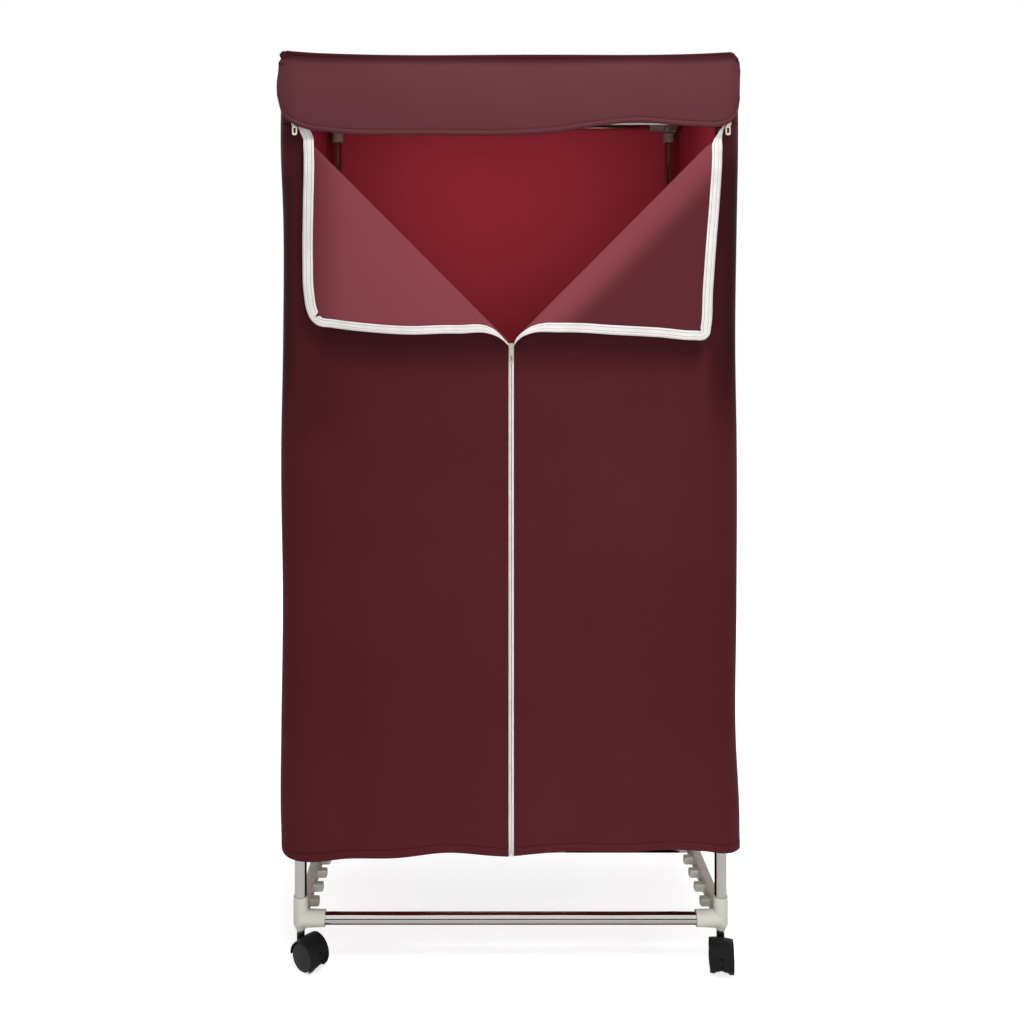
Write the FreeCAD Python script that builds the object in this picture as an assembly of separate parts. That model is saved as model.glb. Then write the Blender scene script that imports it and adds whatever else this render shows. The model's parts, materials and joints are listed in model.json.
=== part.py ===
import FreeCAD, Part
import math
import os

from FreeCAD import Vector

# Portable clothes dryer: a tube frame on castors, a zipped fabric cover and a warm air unit.
# Millimetres, +Z up, front towards -Y, origin on the floor midway between the castor swivel axes.

# Tube frame
post_spacing_x = 672.0
post_spacing_y = 430.0
tube_diameter = 19.0
tube_wall = 0.8
base_tube_height = 70.0  # axis of the bottom tubes above the floor
top_tube_height = 1427.0  # axis of the top tubes above the floor
post_split_height = 750.0  # where lower and upper posts meet
slip_fit = 0.15  # radial clearance of a tube in its socket
coupler_length = 90.0
coupler_wall = 2.0
coupler_collar = 4.0  # height of the collar between two posts

# Corner connectors
socket_wall = 1.8
socket_length = 36.0  # from the tube axis to the mouth of the post socket
socket_floor = 2.4  # plastic between the post's end and the cross tube
arm_length = 39.5  # from the post axis to the mouth of the arm
arm_stop = 14.0  # from the post axis to the cross tube's end
arm_mouth_wall = 2.9
arm_root_wall = 4.2
foot_drop = 17.0  # from the tube axis down to the foot's face
foot_diameter = 15.0
foot_cone = 9.0
cap_rise = 17.7  # from the tube axis up to the cap of a top connector
cap_bevel = 6.0

# Side rails with pegs
rail_width = 16.0
rail_height = 26.0
rail_offset = 3.0  # bar's centre from the tube axis, towards the middle of the frame
rail_corner = 2.5
rail_groove_depth = 5.0
rail_groove_height = 13.0
rail_stop = 14.0  # from the post axis to the bar's end
rail_socket_reach = 28.0
rail_socket_wall = 2.6
gusset_length = 58.0
gusset_width = 4.5
peg_count = 9
peg_pitch = 43.0
peg_length = 15.0
peg_corner = 1.4
peg_fit = 0.25  # radial clearance of a rod on a peg
peg_lead = 3.0  # tapered tip of a peg
peg_taper = 0.8
rod_end_gap = 0.3
hanging_rod_pegs = (1, 3, 5, 7)  # pegs that carry a rod, counted from the front
support_rod_pegs = (4, 7)

# Castors
wheel_diameter = 44.0
castor_width = 37.0
castor_trail = 21.0
hood_gap = 1.0
hood_wall = 1.8
hood_crown = 1.4
hood_clearance = 5.0  # hood above the floor
web_thickness = 6.0
web_gap = 0.5
wheel_inset = 0.6  # wheel face behind the hood's side
tread_round = 3.0
face_dome = 1.8  # swell of a wheel's outer face
hub_diameter = 13.0
hub_cover = 4.0
axle_diameter = 5.0
axle_fit = 0.06
neck_diameter = 12.5
neck_height = 47.5
stem_diameter = 8.0
stem_seat_depth = 10.0
stem_reach = 24.0  # stem above the foot's face
nut_flats = 11.0
nut_gap = 0.3
hood_hole_diameter = 3.6
hood_hole_depth = 4.5
hood_hole_spacing = 12.0
hood_arch_radius = 13.0
castor_yaw = {"front_left": -38.5, "front_right": -100.0, "rear_left": -24.0, "rear_right": 207.0}

# Fabric cover
cover_width = 718.0  # between the middles of the side panels
cover_depth = 486.0
cover_headroom = 21.0  # cover's top above the axis of the top tubes
cover_corner = 14.0
fabric = 1.0
seam_gap = 0.3
piping_diameter = 5.0
slack_top = 0.2  # how far a panel swells at its top
slack_hem = 8.0  # and at its hem
hem_side_left = 176.0
hem_middle_left = 189.0
hem_zip = 183.0
hem_middle_right = 196.0
hem_side_right = 188.0
hem_rear_rise = 5.0

# Door, its folded corners and the front flap
door_drop = 25.0  # fold's upper end under the header
shoulder_drop = 13.0  # top of the door beside the fold
fold_start = {"left": 325.0, "right": 326.0}  # fold line's upper end from the middle
fold_low = {"left": 991.0, "right": 990.0}  # height of its lower end
fold_roll_radius = 5.2
fold_gap = 0.5
fold_tip = 15.0
fold_corner = 18.0
band_width = 16.0
band_thickness = 0.8
flap_width = 728.0
flap_lean = 9.0  # degrees from upright at the top
flap_curl = 7.0  # degrees that it curls back towards its edge
flap_drop_low = 132.0  # lower edge under the cover's top, at its lowest
flap_drop_high = 113.0  # and at its highest
flap_edge_high_x = 214.0
flap_edge_low_x = -110.0
flap_drop_shoulder = 72.0  # where the side edges start to round
flap_corner_inset = 62.0
flap_drop_corner = 122.0
flap_notch = 28.0  # slanted cut beside the top seam

# Zips
chain_width = 7.5
chain_thickness = 2.1
chain_slit = 1.2
tape_width = 17.0
tape_thickness = 0.6
tape_gap = 0.05
chain_edge_gap = 0.4
zip_top = 985.0  # middle of the centre slider
header_drop = 110.0  # header's lower edge under the cover's top
header_zip_height = 3.2
header_zip_inset = 14.0
slider_width = 9.5
slider_length = 11.0
slider_plate = 1.4
slider_gap = 0.25
slider_blade = 0.8
header_slider_x = 340.0
ear_width = 1.0
ear_height = 4.0
pin_radius = 0.8
pin_fit = 0.08
pull_barrel_radius = 1.8
pull_barrel_length = 4.6
pull_width = 8.0
pull_length = 25.0
header_pull_length = 19.0
pull_thickness = 1.2
pull_neck = 4.0
pull_hole_width = 3.6
pull_hole_length = 8.0

# Warm air unit
heater_width = 300.0
heater_depth = 200.0
heater_corner = 42.0
heater_taper = 13.0  # drawn in at the top, on each side
heater_wall = 2.5
tray_height = 26.0
tray_floor = 3.0
tray_lip = 7.0
tray_fit = 0.2
housing_height = 150.0
grille_height = 22.0
grille_taper = 18.0
grille_slot = 7.0
grille_bar = 5.0
grille_wall = 3.0
inlet_slots = 11
inlet_slot_width = 6.0
inlet_slot_length = 64.0
inlet_pitch = 12.0
clip_width = 22.0
clip_depth = 27.0
clip_drop = 13.0
clip_spacing = 190.0
rod_fit = 0.3
motor_diameter = 58.0
motor_height = 38.0
motor_seat_height = 10.0
motor_seat_diameter = 44.0
shaft_diameter = 6.0
shaft_length = 36.0
fan_diameter = 132.0
fan_hub_diameter = 46.0
fan_height = 20.0
fan_lift = 8.0  # fan above the motor
fan_blades = 7
blade_thickness = 2.0
blade_root_pitch = 46.0  # degrees from level
blade_tip_pitch = 28.0
blade_root_chord = 29.0
blade_tip_chord = 46.0
duct_gap = 3.0
duct_wall = 2.5
duct_height = 34.0
duct_plate = 3.0
duct_above_fan = 6.0
element_width = 128.0
element_depth = 104.0
element_height = 22.0
element_frame = 4.0
element_bars = 5
element_bar_width = 5.0
fin_thickness = 0.9
fin_count = 18
panel_width = 150.0
panel_height = 58.0
panel_corner = 12.0
panel_stand = 9.0  # control panel in front of the housing's foot
panel_centre_height = 82.0  # above the housing's foot
control_spacing = 70.0
timer_width = 40.0
timer_depth = 24.0
timer_shaft_diameter = 6.0
timer_shaft_fit = 0.1
knob_diameter = 36.0
knob_height = 16.0
knob_gap = 0.4
knob_taper = 3.2  # drawn in at the front
knob_bore_depth = 10.0
knob_shaft_fit = 0.05
knob_flutes = 16
knob_flute_radius = 1.6
knob_pointer_width = 2.0
knob_pointer_depth = 1.0
rocker_width = 14.0
rocker_height = 21.0
rocker_depth = 11.0
rocker_stand = 2.5
rocker_tilt = 9.0
rocker_gap = 0.9
rocker_pin_radius = 1.6
gland_diameter = 14.0
gland_length = 20.0
gland_flange = 21.0
gland_height = 24.0  # above the housing's foot
gland_bore = 7.4

# Worked out from the sizes above
tube_radius = tube_diameter / 2
tube_bore = tube_radius - tube_wall
socket_bore = tube_radius + slip_fit
socket_radius = socket_bore + socket_wall
post_x = post_spacing_x / 2
post_y = post_spacing_y / 2
post_stop = socket_bore + socket_floor  # post's end from the cross tube's axis
half_fabric = fabric / 2
side_x = cover_width / 2
front_y = -cover_depth / 2
back_y = cover_depth / 2
piping_radius = piping_diameter / 2
cover_top_height = top_tube_height + cover_headroom
header_bottom = cover_top_height - header_drop
door_top = header_bottom - door_drop
door_shoulder = header_bottom - shoulder_drop
flap_edge_low = cover_top_height - flap_drop_low
flap_edge_high = cover_top_height - flap_drop_high
flap_shoulder = cover_top_height - flap_drop_shoulder
flap_corner_height = cover_top_height - flap_drop_corner
piping_height = cover_top_height - piping_radius
panel_top = piping_height - piping_radius - seam_gap
door_edge = chain_width / 2 + chain_edge_gap
fold_axis_y = front_y - half_fabric - fold_gap - fold_roll_radius
tape_front = front_y + half_fabric + tape_gap
tape_back = tape_front + tape_thickness
chain_front = tape_back - chain_thickness
wheel_radius = wheel_diameter / 2
axle_radius = axle_diameter / 2
bottom_rail_height = base_tube_height + rail_offset
top_rail_height = top_tube_height - rail_offset
foot_height = base_tube_height - foot_drop
heater_y = (sum(support_rod_pegs) / len(support_rod_pegs) - (peg_count - 1) / 2) * peg_pitch
tray_bottom = bottom_rail_height + tube_radius + rod_fit
housing_bottom = tray_bottom + tray_height
housing_top = housing_bottom + housing_height
corners = {
    "front_left": (-1, -1),
    "front_right": (1, -1),
    "rear_left": (-1, 1),
    "rear_right": (1, 1),
}
x_axis = Vector(1, 0, 0)
y_axis = Vector(0, 1, 0)
z_axis = Vector(0, 0, 1)
origin = Vector(0, 0, 0)


# Basic shapes
def block(x0, x1, y0, y1, z0, z1):
    return Part.makeBox(x1 - x0, y1 - y0, z1 - z0, Vector(x0, y0, z0))


def rod(start, direction, radius, length):
    return Part.makeCylinder(radius, length, start, direction)


def pipe(start, direction, outer, inner, length):
    return rod(start, direction, outer, length).cut(rod(start, direction, inner, length))


def line(a, b):
    return Part.makeLine(a, b)


def arc(a, b, c):
    return Part.Arc(a, b, c).toShape()


def solid_from(points, direction):
    return Part.Face(Part.makePolygon(points + points[:1])).extrude(direction)


def rounded_wire(width, depth, radius, centre_x, centre_y, z):
    hw = width / 2
    hd = depth / 2
    quarter = radius * (1 - math.sqrt(0.5))
    edges = []
    ends = []
    for sx, sy in ((1, -1), (1, 1), (-1, 1), (-1, -1)):
        corner = Vector(centre_x + sx * hw, centre_y + sy * hd, z)
        along_x = corner - Vector(sx * radius, 0, 0)
        along_y = corner - Vector(0, sy * radius, 0)
        middle = corner - Vector(sx * quarter, sy * quarter, 0)
        start, end = (along_x, along_y) if sx * sy < 0 else (along_y, along_x)
        edges.append(arc(start, middle, end))
        ends.append((start, end))
    for i in range(4):
        edges.insert(2 * i + 1, line(ends[i][1], ends[(i + 1) % 4][0]))
    return Part.Wire(edges)


def rounded_block(width, depth, radius, centre_x, centre_y, z0, z1):
    face = Part.Face(rounded_wire(width, depth, radius, centre_x, centre_y, z0))
    return face.extrude(Vector(0, 0, z1 - z0))


def tapered_block(lower, upper):
    return Part.makeLoft([rounded_wire(*lower), rounded_wire(*upper)], True, True)


# A strip of even thickness that follows straight and curved stretches, each (length, turn in degrees)
def strip_wire(start, heading, stretches, thickness, z):
    half = thickness / 2
    place = Vector(start[0], start[1], z)
    angle = math.radians(heading)
    left = []
    right = []
    for length, turn in stretches:
        side = Vector(-math.sin(angle), math.cos(angle), 0)
        if turn == 0:
            end = place + Vector(math.cos(angle), math.sin(angle), 0) * length
            left.append(line(place + side * half, end + side * half))
            right.append(line(place - side * half, end - side * half))
        else:
            sweep = math.radians(turn)
            radius = length / sweep
            centre = place + side * radius

            def along(share, offset):
                a = angle + sweep * share
                return centre - Vector(-math.sin(a), math.cos(a), 0) * (radius - offset)

            left.append(arc(along(0, half), along(0.5, half), along(1, half)))
            right.append(arc(along(0, -half), along(0.5, -half), along(1, -half)))
            end = along(1, 0)
            angle += sweep
        place = end
    side = Vector(-math.sin(angle), math.cos(angle), 0)
    first = left[0].firstVertex().Point
    start_cap = line(right[0].firstVertex().Point, first)
    end_cap = line(place + side * half, place - side * half)
    return Part.Wire(Part.__sortEdges__(left + [end_cap] + right + [start_cap]))


# A swelling stretch: out by depth at its middle and back, over the given width
def swell(width, depth):
    turn = 2 * math.atan(2 * depth / width)
    length = width / 4 / math.sin(turn) * turn
    degrees = math.degrees(turn)
    return [(length, degrees), (2 * length, -2 * degrees), (length, degrees)]


def quarter_turn(direction):
    return [(cover_corner * math.pi / 2, 90.0 * direction)]


# Corner connectors, drawn for a cross tube towards +X, a rail towards +Y and a post towards +Z
def connector(is_bottom):
    arm = Part.makeCone(
        socket_bore + arm_root_wall, socket_bore + arm_mouth_wall, arm_length, origin, x_axis
    )
    socket = rail_socket(rail_width + 2 * rail_socket_wall, rail_height + 2 * rail_socket_wall, 0)
    drop, slant, tip = cap_rise, cap_bevel, socket_radius - cap_bevel
    if is_bottom:
        drop, slant, tip = foot_drop, foot_cone, foot_diameter / 2
    body = rod(Vector(0, 0, slant - drop), z_axis, socket_radius, drop - slant + socket_length)
    end = Part.makeCone(tip, socket_radius, slant, Vector(0, 0, -drop), z_axis)
    shape = body.fuse([arm, socket, end])
    cuts = [
        rod(Vector(0, 0, post_stop), z_axis, socket_bore, socket_length),
        rod(Vector(arm_stop, 0, 0), x_axis, socket_bore, arm_length),
        rail_socket(rail_width + 2 * slip_fit, rail_height + 2 * slip_fit, rail_stop - slip_fit),
    ]
    if is_bottom:
        stem_bore = stem_diameter / 2 + slip_fit
        cuts.append(rod(Vector(0, 0, -foot_drop), z_axis, stem_bore, stem_reach + slip_fit))
    return shape.cut(cuts).removeSplitter()


def rail_socket(width, height, start):
    outline = rounded_wire(width, height, rail_corner, 0, 0, 0)
    solid = Part.Face(outline).extrude(Vector(0, 0, rail_socket_reach - start))
    solid.rotate(origin, x_axis, -90)
    return solid.translated(Vector(0, start, rail_offset))


# Turns the drawn connector into each of the four corners
def at_corner(shape, signs, height, is_bottom):
    placed = shape
    if not is_bottom:
        placed = placed.mirror(origin, z_axis)
    if signs[0] > 0:
        placed = placed.mirror(origin, x_axis)
    if signs[1] > 0:
        placed = placed.mirror(origin, y_axis)
    return placed.translated(Vector(signs[0] * post_x, signs[1] * post_y, height))


def make_connectors(parts):
    bottom = connector(True)
    top = connector(False)
    for name, signs in corners.items():
        parts["bottom_corner_" + name] = at_corner(bottom, signs, base_tube_height, True)
    parts["top_corners"] = Part.makeCompound(
        [at_corner(top, signs, top_tube_height, False) for signs in corners.values()]
    )


# Posts in two lengths, joined by couplers, and the cross tubes
def make_tubes(parts):
    lower_start = base_tube_height + post_stop
    lower_end = post_split_height - coupler_collar / 2
    upper_start = post_split_height + coupler_collar / 2
    upper_end = top_tube_height - post_stop
    uppers = []
    couplers = []
    for name, (sx, sy) in corners.items():
        x = sx * post_x
        y = sy * post_y
        parts["lower_post_" + name] = post(x, y, lower_start, lower_end)
        uppers.append(post(x, y, upper_start, upper_end))
        couplers.append(coupler(x, y))
    parts["upper_posts"] = Part.makeCompound(uppers)
    parts["post_couplers"] = Part.makeCompound(couplers)
    parts["bottom_front_tube"] = cross_tube(-post_y, base_tube_height)
    parts["bottom_rear_tube"] = cross_tube(post_y, base_tube_height)
    parts["top_tubes"] = Part.makeCompound([cross_tube(y, top_tube_height) for y in (-post_y, post_y)])


def post(x, y, start, end):
    return pipe(Vector(x, y, start), z_axis, tube_radius, tube_bore, end - start)


def cross_tube(y, height):
    half = post_x - arm_stop
    return pipe(Vector(-half, y, height), x_axis, tube_radius, tube_bore, 2 * half)


def coupler(x, y):
    radius = tube_bore - slip_fit
    start = Vector(x, y, post_split_height - coupler_length / 2)
    collar = rod(Vector(x, y, post_split_height - coupler_collar / 2), z_axis, tube_radius, coupler_collar)
    core = rod(start, z_axis, radius - coupler_wall, coupler_length)
    return rod(start, z_axis, radius, coupler_length).fuse(collar).cut(core).removeSplitter()


def peg_y(index):
    return (index - (peg_count - 1) / 2) * peg_pitch


def peg_half_size():
    return (tube_bore - peg_fit - peg_corner) / math.sqrt(2) + peg_corner


# Left rail, pegs towards +X: a grooved bar with flared ends and square pegs that the rods slip over
def rail():
    length = post_spacing_y - 2 * rail_stop
    outline = Part.Face(rounded_wire(rail_width, rail_height, rail_corner, 0, 0, 0))
    bar = outline.extrude(Vector(0, 0, length))
    bar.rotate(origin, x_axis, -90)
    bar = bar.translated(Vector(0, -length / 2, 0))
    reach = post_y - rail_socket_reach
    groove_half = reach - gusset_length
    outer = -rail_width / 2
    half_height = rail_groove_height / 2
    groove = block(
        outer, outer + rail_groove_depth, -groove_half, groove_half, -half_height, half_height
    )
    extras = []
    for s in (-1, 1):
        points = [
            Vector(outer, s * reach, -half_height),
            Vector(outer - gusset_width, s * reach, -half_height),
            Vector(outer, s * groove_half, -half_height),
        ]
        extras.append(solid_from(points, Vector(0, 0, rail_groove_height)))
    extras += [peg(peg_y(i)) for i in range(peg_count)]
    return bar.cut(groove).fuse(extras).removeSplitter()


def peg(y):
    size = 2 * peg_half_size()
    tip = size - 2 * peg_taper
    straight = peg_length - peg_lead
    shank = rounded_block(size, size, peg_corner, 0, 0, 0, straight)
    lead = tapered_block((size, size, peg_corner, 0, 0, straight), (tip, tip, peg_corner, 0, 0, peg_length))
    solid = shank.fuse(lead)
    solid.rotate(origin, y_axis, 90)
    return solid.translated(Vector(rail_width / 2, y, 0))


def make_rails(parts):
    left = rail()
    right = left.mirror(origin, x_axis)
    parts["bottom_rail_left"] = left.translated(Vector(-post_x, 0, bottom_rail_height))
    parts["bottom_rail_right"] = right.translated(Vector(post_x, 0, bottom_rail_height))
    top_left = left.translated(Vector(-post_x, 0, top_rail_height))
    top_right = right.translated(Vector(post_x, 0, top_rail_height))
    parts["top_rails"] = Part.makeCompound([top_left, top_right])
    half = post_x - rail_width / 2 - rod_end_gap
    for name, pegs, height in (
        ("hanging_rods", hanging_rod_pegs, top_rail_height),
        ("heater_support_rods", support_rod_pegs, bottom_rail_height),
    ):
        starts = [Vector(-half, peg_y(i), height) for i in pegs]
        rods = [pipe(start, x_axis, tube_radius, tube_bore, 2 * half) for start in starts]
        parts[name] = Part.makeCompound(rods)


# A castor about its own swivel axis, trailing towards +X with its axle along Y
def castor_hood():
    half = castor_width / 2
    edge_radius = wheel_radius + hood_gap + hood_wall
    centre = Vector(castor_trail, 0, wheel_radius)
    corner_low = centre + Vector(0, -half, edge_radius)
    crown = centre + Vector(0, 0, edge_radius + hood_crown)
    corner_high = centre + Vector(0, half, edge_radius)
    axis_low = centre + Vector(0, -half, 0)
    axis_high = centre + Vector(0, half, 0)
    outline = Part.Wire(
        [
            line(axis_low, corner_low),
            arc(corner_low, crown, corner_high),
            line(corner_high, axis_high),
            line(axis_high, axis_low),
        ]
    )
    barrel = Part.Face(outline).revolve(centre, y_axis, 360)
    neck = rod(Vector(0, 0, wheel_radius), z_axis, neck_diameter / 2, neck_height - wheel_radius)
    shape = barrel.fuse(neck)
    reach = 2 * edge_radius + castor_trail
    cavity = wheel_radius + hood_gap
    lead = castor_trail - hub_diameter / 2 - hood_gap
    below = [
        Vector(-reach, -half - hood_gap, -reach),
        Vector(reach, -half - hood_gap, -reach),
        Vector(reach, -half - hood_gap, hood_clearance),
        Vector(lead, -half - hood_gap, hood_clearance),
        Vector(lead, -half - hood_gap, wheel_radius - hood_gap),
        Vector(-reach, -half - hood_gap, wheel_radius - hood_gap),
    ]
    hole_x = castor_trail + edge_radius + hood_crown - hood_hole_depth
    cuts = [
        rod(Vector(castor_trail, web_thickness / 2, wheel_radius), y_axis, cavity, half),
        rod(Vector(castor_trail, -web_thickness / 2 - half, wheel_radius), y_axis, cavity, half),
        solid_from(below, Vector(0, 2 * (half + hood_gap), 0)),
        rod(Vector(castor_trail + wheel_radius / 2, 0, 0), x_axis, hood_arch_radius, reach),
        rod(Vector(castor_trail, -half, wheel_radius), y_axis, axle_radius + axle_fit, castor_width),
        rod(
            Vector(0, 0, neck_height - stem_seat_depth),
            z_axis,
            stem_diameter / 2 + axle_fit,
            stem_seat_depth,
        ),
    ]
    for s in (-1, 1):
        height = wheel_radius + hood_hole_spacing / 4 + s * hood_hole_spacing / 2
        cuts.append(rod(Vector(hole_x, 0, height), x_axis, hood_hole_diameter / 2, reach))
    return shape.cut(cuts).removeSplitter()


# Two domed wheels pressed on one axle
def castor_wheels():
    inner = web_thickness / 2 + web_gap
    outer = castor_width / 2 - wheel_inset
    bore = axle_radius + axle_fit
    bore_end = outer - hub_cover
    rounding = tread_round * (1 - math.sqrt(0.5))
    face = wheel_radius - tread_round
    dome_radius = (face**2 + face_dome**2) / (2 * face_dome)
    shoulder = outer + face_dome - dome_radius + math.sqrt(dome_radius**2 - face**2 / 4)

    def at(y, r):
        return Vector(castor_trail, y, wheel_radius + r)

    outline = Part.Wire(
        [
            line(at(inner, bore), at(inner, wheel_radius - web_gap)),
            line(at(inner, wheel_radius - web_gap), at(inner + web_gap, wheel_radius)),
            line(at(inner + web_gap, wheel_radius), at(outer - tread_round, wheel_radius)),
            arc(
                at(outer - tread_round, wheel_radius),
                at(outer - rounding, wheel_radius - rounding),
                at(outer, face),
            ),
            arc(at(outer, face), at(shoulder, face / 2), at(outer + face_dome, 0)),
            line(at(outer + face_dome, 0), at(bore_end, 0)),
            line(at(bore_end, 0), at(bore_end, bore)),
            line(at(bore_end, bore), at(inner, bore)),
        ]
    )
    wheel = Part.Face(outline).revolve(Vector(castor_trail, 0, wheel_radius), y_axis, 360)
    half_axle = bore_end - web_gap
    axle = rod(Vector(castor_trail, -half_axle, wheel_radius), y_axis, axle_radius, 2 * half_axle)
    return Part.makeCompound([wheel, wheel.mirror(origin, y_axis), axle])


# Threaded stem with its hexagon collar, fixed in the connector's foot
def castor_stem():
    bottom = neck_height - stem_seat_depth + nut_gap
    pin = rod(Vector(0, 0, bottom), z_axis, stem_diameter / 2, foot_height + stem_reach - bottom)
    reach = nut_flats / math.sqrt(3)
    points = []
    for i in range(6):
        turn = i * math.pi / 3
        points.append(Vector(reach * math.cos(turn), reach * math.sin(turn), neck_height + nut_gap))
    nut = solid_from(points, Vector(0, 0, foot_height - neck_height - nut_gap))
    return pin.fuse(nut).removeSplitter()


def make_castors(parts):
    hood = castor_hood()
    wheels = castor_wheels()
    stem = castor_stem()
    stems = []
    for name, (sx, sy) in corners.items():
        place = Vector(sx * post_x, sy * post_y, 0)
        yaw = castor_yaw[name]
        parts["castor_hood_" + name] = hood.rotated(origin, z_axis, yaw).translated(place)
        parts["castor_wheels_" + name] = wheels.rotated(origin, z_axis, yaw).translated(place)
        stems.append(stem.translated(place))
    parts["castor_stems"] = Part.makeCompound(stems)


# A hanging panel: taut at its upper part and swelling towards its hem
def hanging_panel(make_strip, heights):
    wires = [make_strip(slack, z) for z, slack in heights]
    return Part.makeLoft(wires, True, True)


def panel_heights(top, taut_to, bottom):
    return ((top, slack_top), (taut_to, slack_top), (bottom, slack_hem))


# Area kept of a front panel, as an outline in X and Z carried through the depth of the cover
def front_outline(edges):
    face = Part.Face(Part.Wire(Part.__sortEdges__(edges)))
    return face.extrude(Vector(0, cover_depth, 0)).translated(Vector(0, -cover_depth, 0))


def loop(points):
    return [line(points[i], points[i + 1]) for i in range(len(points) - 1)]


def xz(x, z):
    return Vector(x, 0, z)


# Fold line of one side, with the door's top corner turned over it
def fold_points(side):
    s = -1 if side == "left" else 1
    upper = xz(s * fold_start[side], door_top)
    lower = xz(s * door_edge, fold_low[side])
    corner = xz(s * door_edge, door_top)
    along = (lower - upper).normalize()
    foot = upper + along * (corner - upper).dot(along)
    return upper, lower, foot * 2 - corner, along


def door_panel(side):
    s = -1 if side == "left" else 1
    flat = side_x - cover_corner - door_edge
    hem_side = hem_side_left if side == "left" else hem_side_right
    hem_middle = hem_middle_left if side == "left" else hem_middle_right
    low = min(hem_side, hem_zip) - slack_hem

    def strip(slack, z):
        return strip_wire((-door_edge, front_y), 180, swell(flat, slack) + quarter_turn(-1), fabric, z)

    sheet = hanging_panel(strip, panel_heights(door_shoulder, fold_low[side], low))
    if s > 0:
        sheet = sheet.mirror(origin, x_axis)
    upper, lower = fold_points(side)[:2]
    outside = s * (side_x + cover_corner)
    hem_start = xz(s * door_edge, hem_zip)
    hem_end = xz(outside, hem_side)
    edges = [arc(hem_start, xz(s * side_x / 2, hem_middle), hem_end)]
    shoulder_end = xz(outside, door_shoulder)
    shoulder_start = xz(upper.x + s * fold_tip / 2, door_shoulder)
    edges += loop([hem_end, shoulder_end, shoulder_start, upper, lower, hem_start])
    return sheet.common(front_outline(edges))


# Corner of the door that is turned down over its fold line, with the soft roll along the fold
def door_fold(side):
    upper, lower, turned, along = fold_points(side)
    outer_edge = (turned - upper).normalize()
    lower_edge = (turned - lower).normalize()
    tip_edge = fold_tip / abs(outer_edge.dot(along))
    tip_low = fold_tip / abs(lower_edge.dot(along))
    start = upper + along * fold_tip
    end = lower - along * fold_tip
    round_in = turned - outer_edge * fold_corner
    round_out = turned - lower_edge * fold_corner
    pull_in = fold_corner * (1 - math.sqrt(0.5))
    middle = turned - outer_edge * pull_in - lower_edge * pull_in
    edge_top = upper + outer_edge * tip_edge
    edge_low = lower + lower_edge * tip_low
    edges = loop([round_out, edge_low, end, start, edge_top, round_in]) + [arc(round_in, middle, round_out)]
    face = Part.Face(Part.Wire(Part.__sortEdges__(edges)))
    front = fold_axis_y - fold_roll_radius
    plate = face.extrude(Vector(0, fabric, 0)).translated(Vector(0, front, 0))
    axis_start = Vector(start.x, fold_axis_y, start.z)
    roll = rod(axis_start, along, fold_roll_radius, (end - start).Length)
    band = zip_band(face, turned, outer_edge, lower_edge, front)
    return plate.fuse(roll).removeSplitter(), band


# Zip tape along the two free edges of a folded corner
def zip_band(face, turned, outer_edge, lower_edge, front):
    sheet = face.extrude(Vector(0, band_thickness, 0)).translated(Vector(0, front - band_thickness, 0))
    inner = turned - outer_edge * band_width - lower_edge * band_width
    up = outer_edge * cover_width
    across = lower_edge * cover_width
    points = [inner, inner - up, inner - up - across, inner - across]
    inside = solid_from(points, Vector(0, 2 * cover_depth, 0)).translated(Vector(0, -cover_depth, 0))
    return sheet.cut(inside)


def side_panel(side):
    s = -1 if side == "left" else 1
    length = cover_depth - 2 * cover_corner - 2 * seam_gap
    hem = hem_side_left if side == "left" else hem_side_right

    def strip(slack, z):
        return strip_wire((-side_x, -length / 2), 90, swell(length, slack), fabric, z)

    sheet = hanging_panel(strip, panel_heights(panel_top, zip_top, hem - slack_hem))
    outer = -side_x - cover_corner
    front = Vector(outer, -cover_depth, hem)
    rear = Vector(outer, cover_depth, hem)
    middle = Vector(outer, 0, hem + hem_rear_rise)
    top_rear = Vector(outer, cover_depth, cover_top_height)
    top_front = Vector(outer, -cover_depth, cover_top_height)
    edges = [arc(front, middle, rear)] + loop([rear, top_rear, top_front, front])
    keep = Part.Face(Part.Wire(Part.__sortEdges__(edges))).extrude(Vector(4 * cover_corner, 0, 0))
    sheet = sheet.common(keep)
    return sheet.mirror(origin, x_axis) if s > 0 else sheet


def back_panel():
    flat = cover_width - 2 * cover_corner
    hem = (hem_side_left + hem_side_right) / 2

    def strip(slack, z):
        turns = quarter_turn(-1)
        stretches = turns + swell(flat, slack) + turns
        return strip_wire((-side_x, back_y - cover_corner), 90, stretches, fabric, z)

    sheet = hanging_panel(strip, panel_heights(panel_top, zip_top, hem - slack_hem))
    outside = side_x + cover_corner
    left = xz(-outside, hem_side_left)
    right = xz(outside, hem_side_right)
    middle = xz(0, hem + 2 * hem_rear_rise)
    edges = [arc(left, middle, right)]
    edges += loop([right, xz(outside, cover_top_height), xz(-outside, cover_top_height), left])
    keep = front_outline(edges).translated(Vector(0, cover_depth, 0))
    return sheet.common(keep)


def header_panel():
    flat = cover_width - 2 * cover_corner
    stretches = quarter_turn(1) + [(flat, 0)] + quarter_turn(1)
    wire = strip_wire((-side_x, front_y + cover_corner), -90, stretches, fabric, header_bottom)
    return Part.Face(wire).extrude(Vector(0, 0, panel_top - header_bottom))


def top_panel():
    inset = 2 * (piping_radius + seam_gap)
    return rounded_block(
        cover_width - inset,
        cover_depth - inset,
        cover_corner - inset / 2,
        0,
        0,
        piping_height - half_fabric,
        piping_height + half_fabric,
    )


def top_piping():
    path = rounded_wire(cover_width, cover_depth, cover_corner, 0, 0, piping_height)
    start = path.Edges[1].firstVertex().Point
    section = Part.Wire(Part.makeCircle(piping_radius, start, y_axis))
    return path.makePipeShell([section], True, False)


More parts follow.
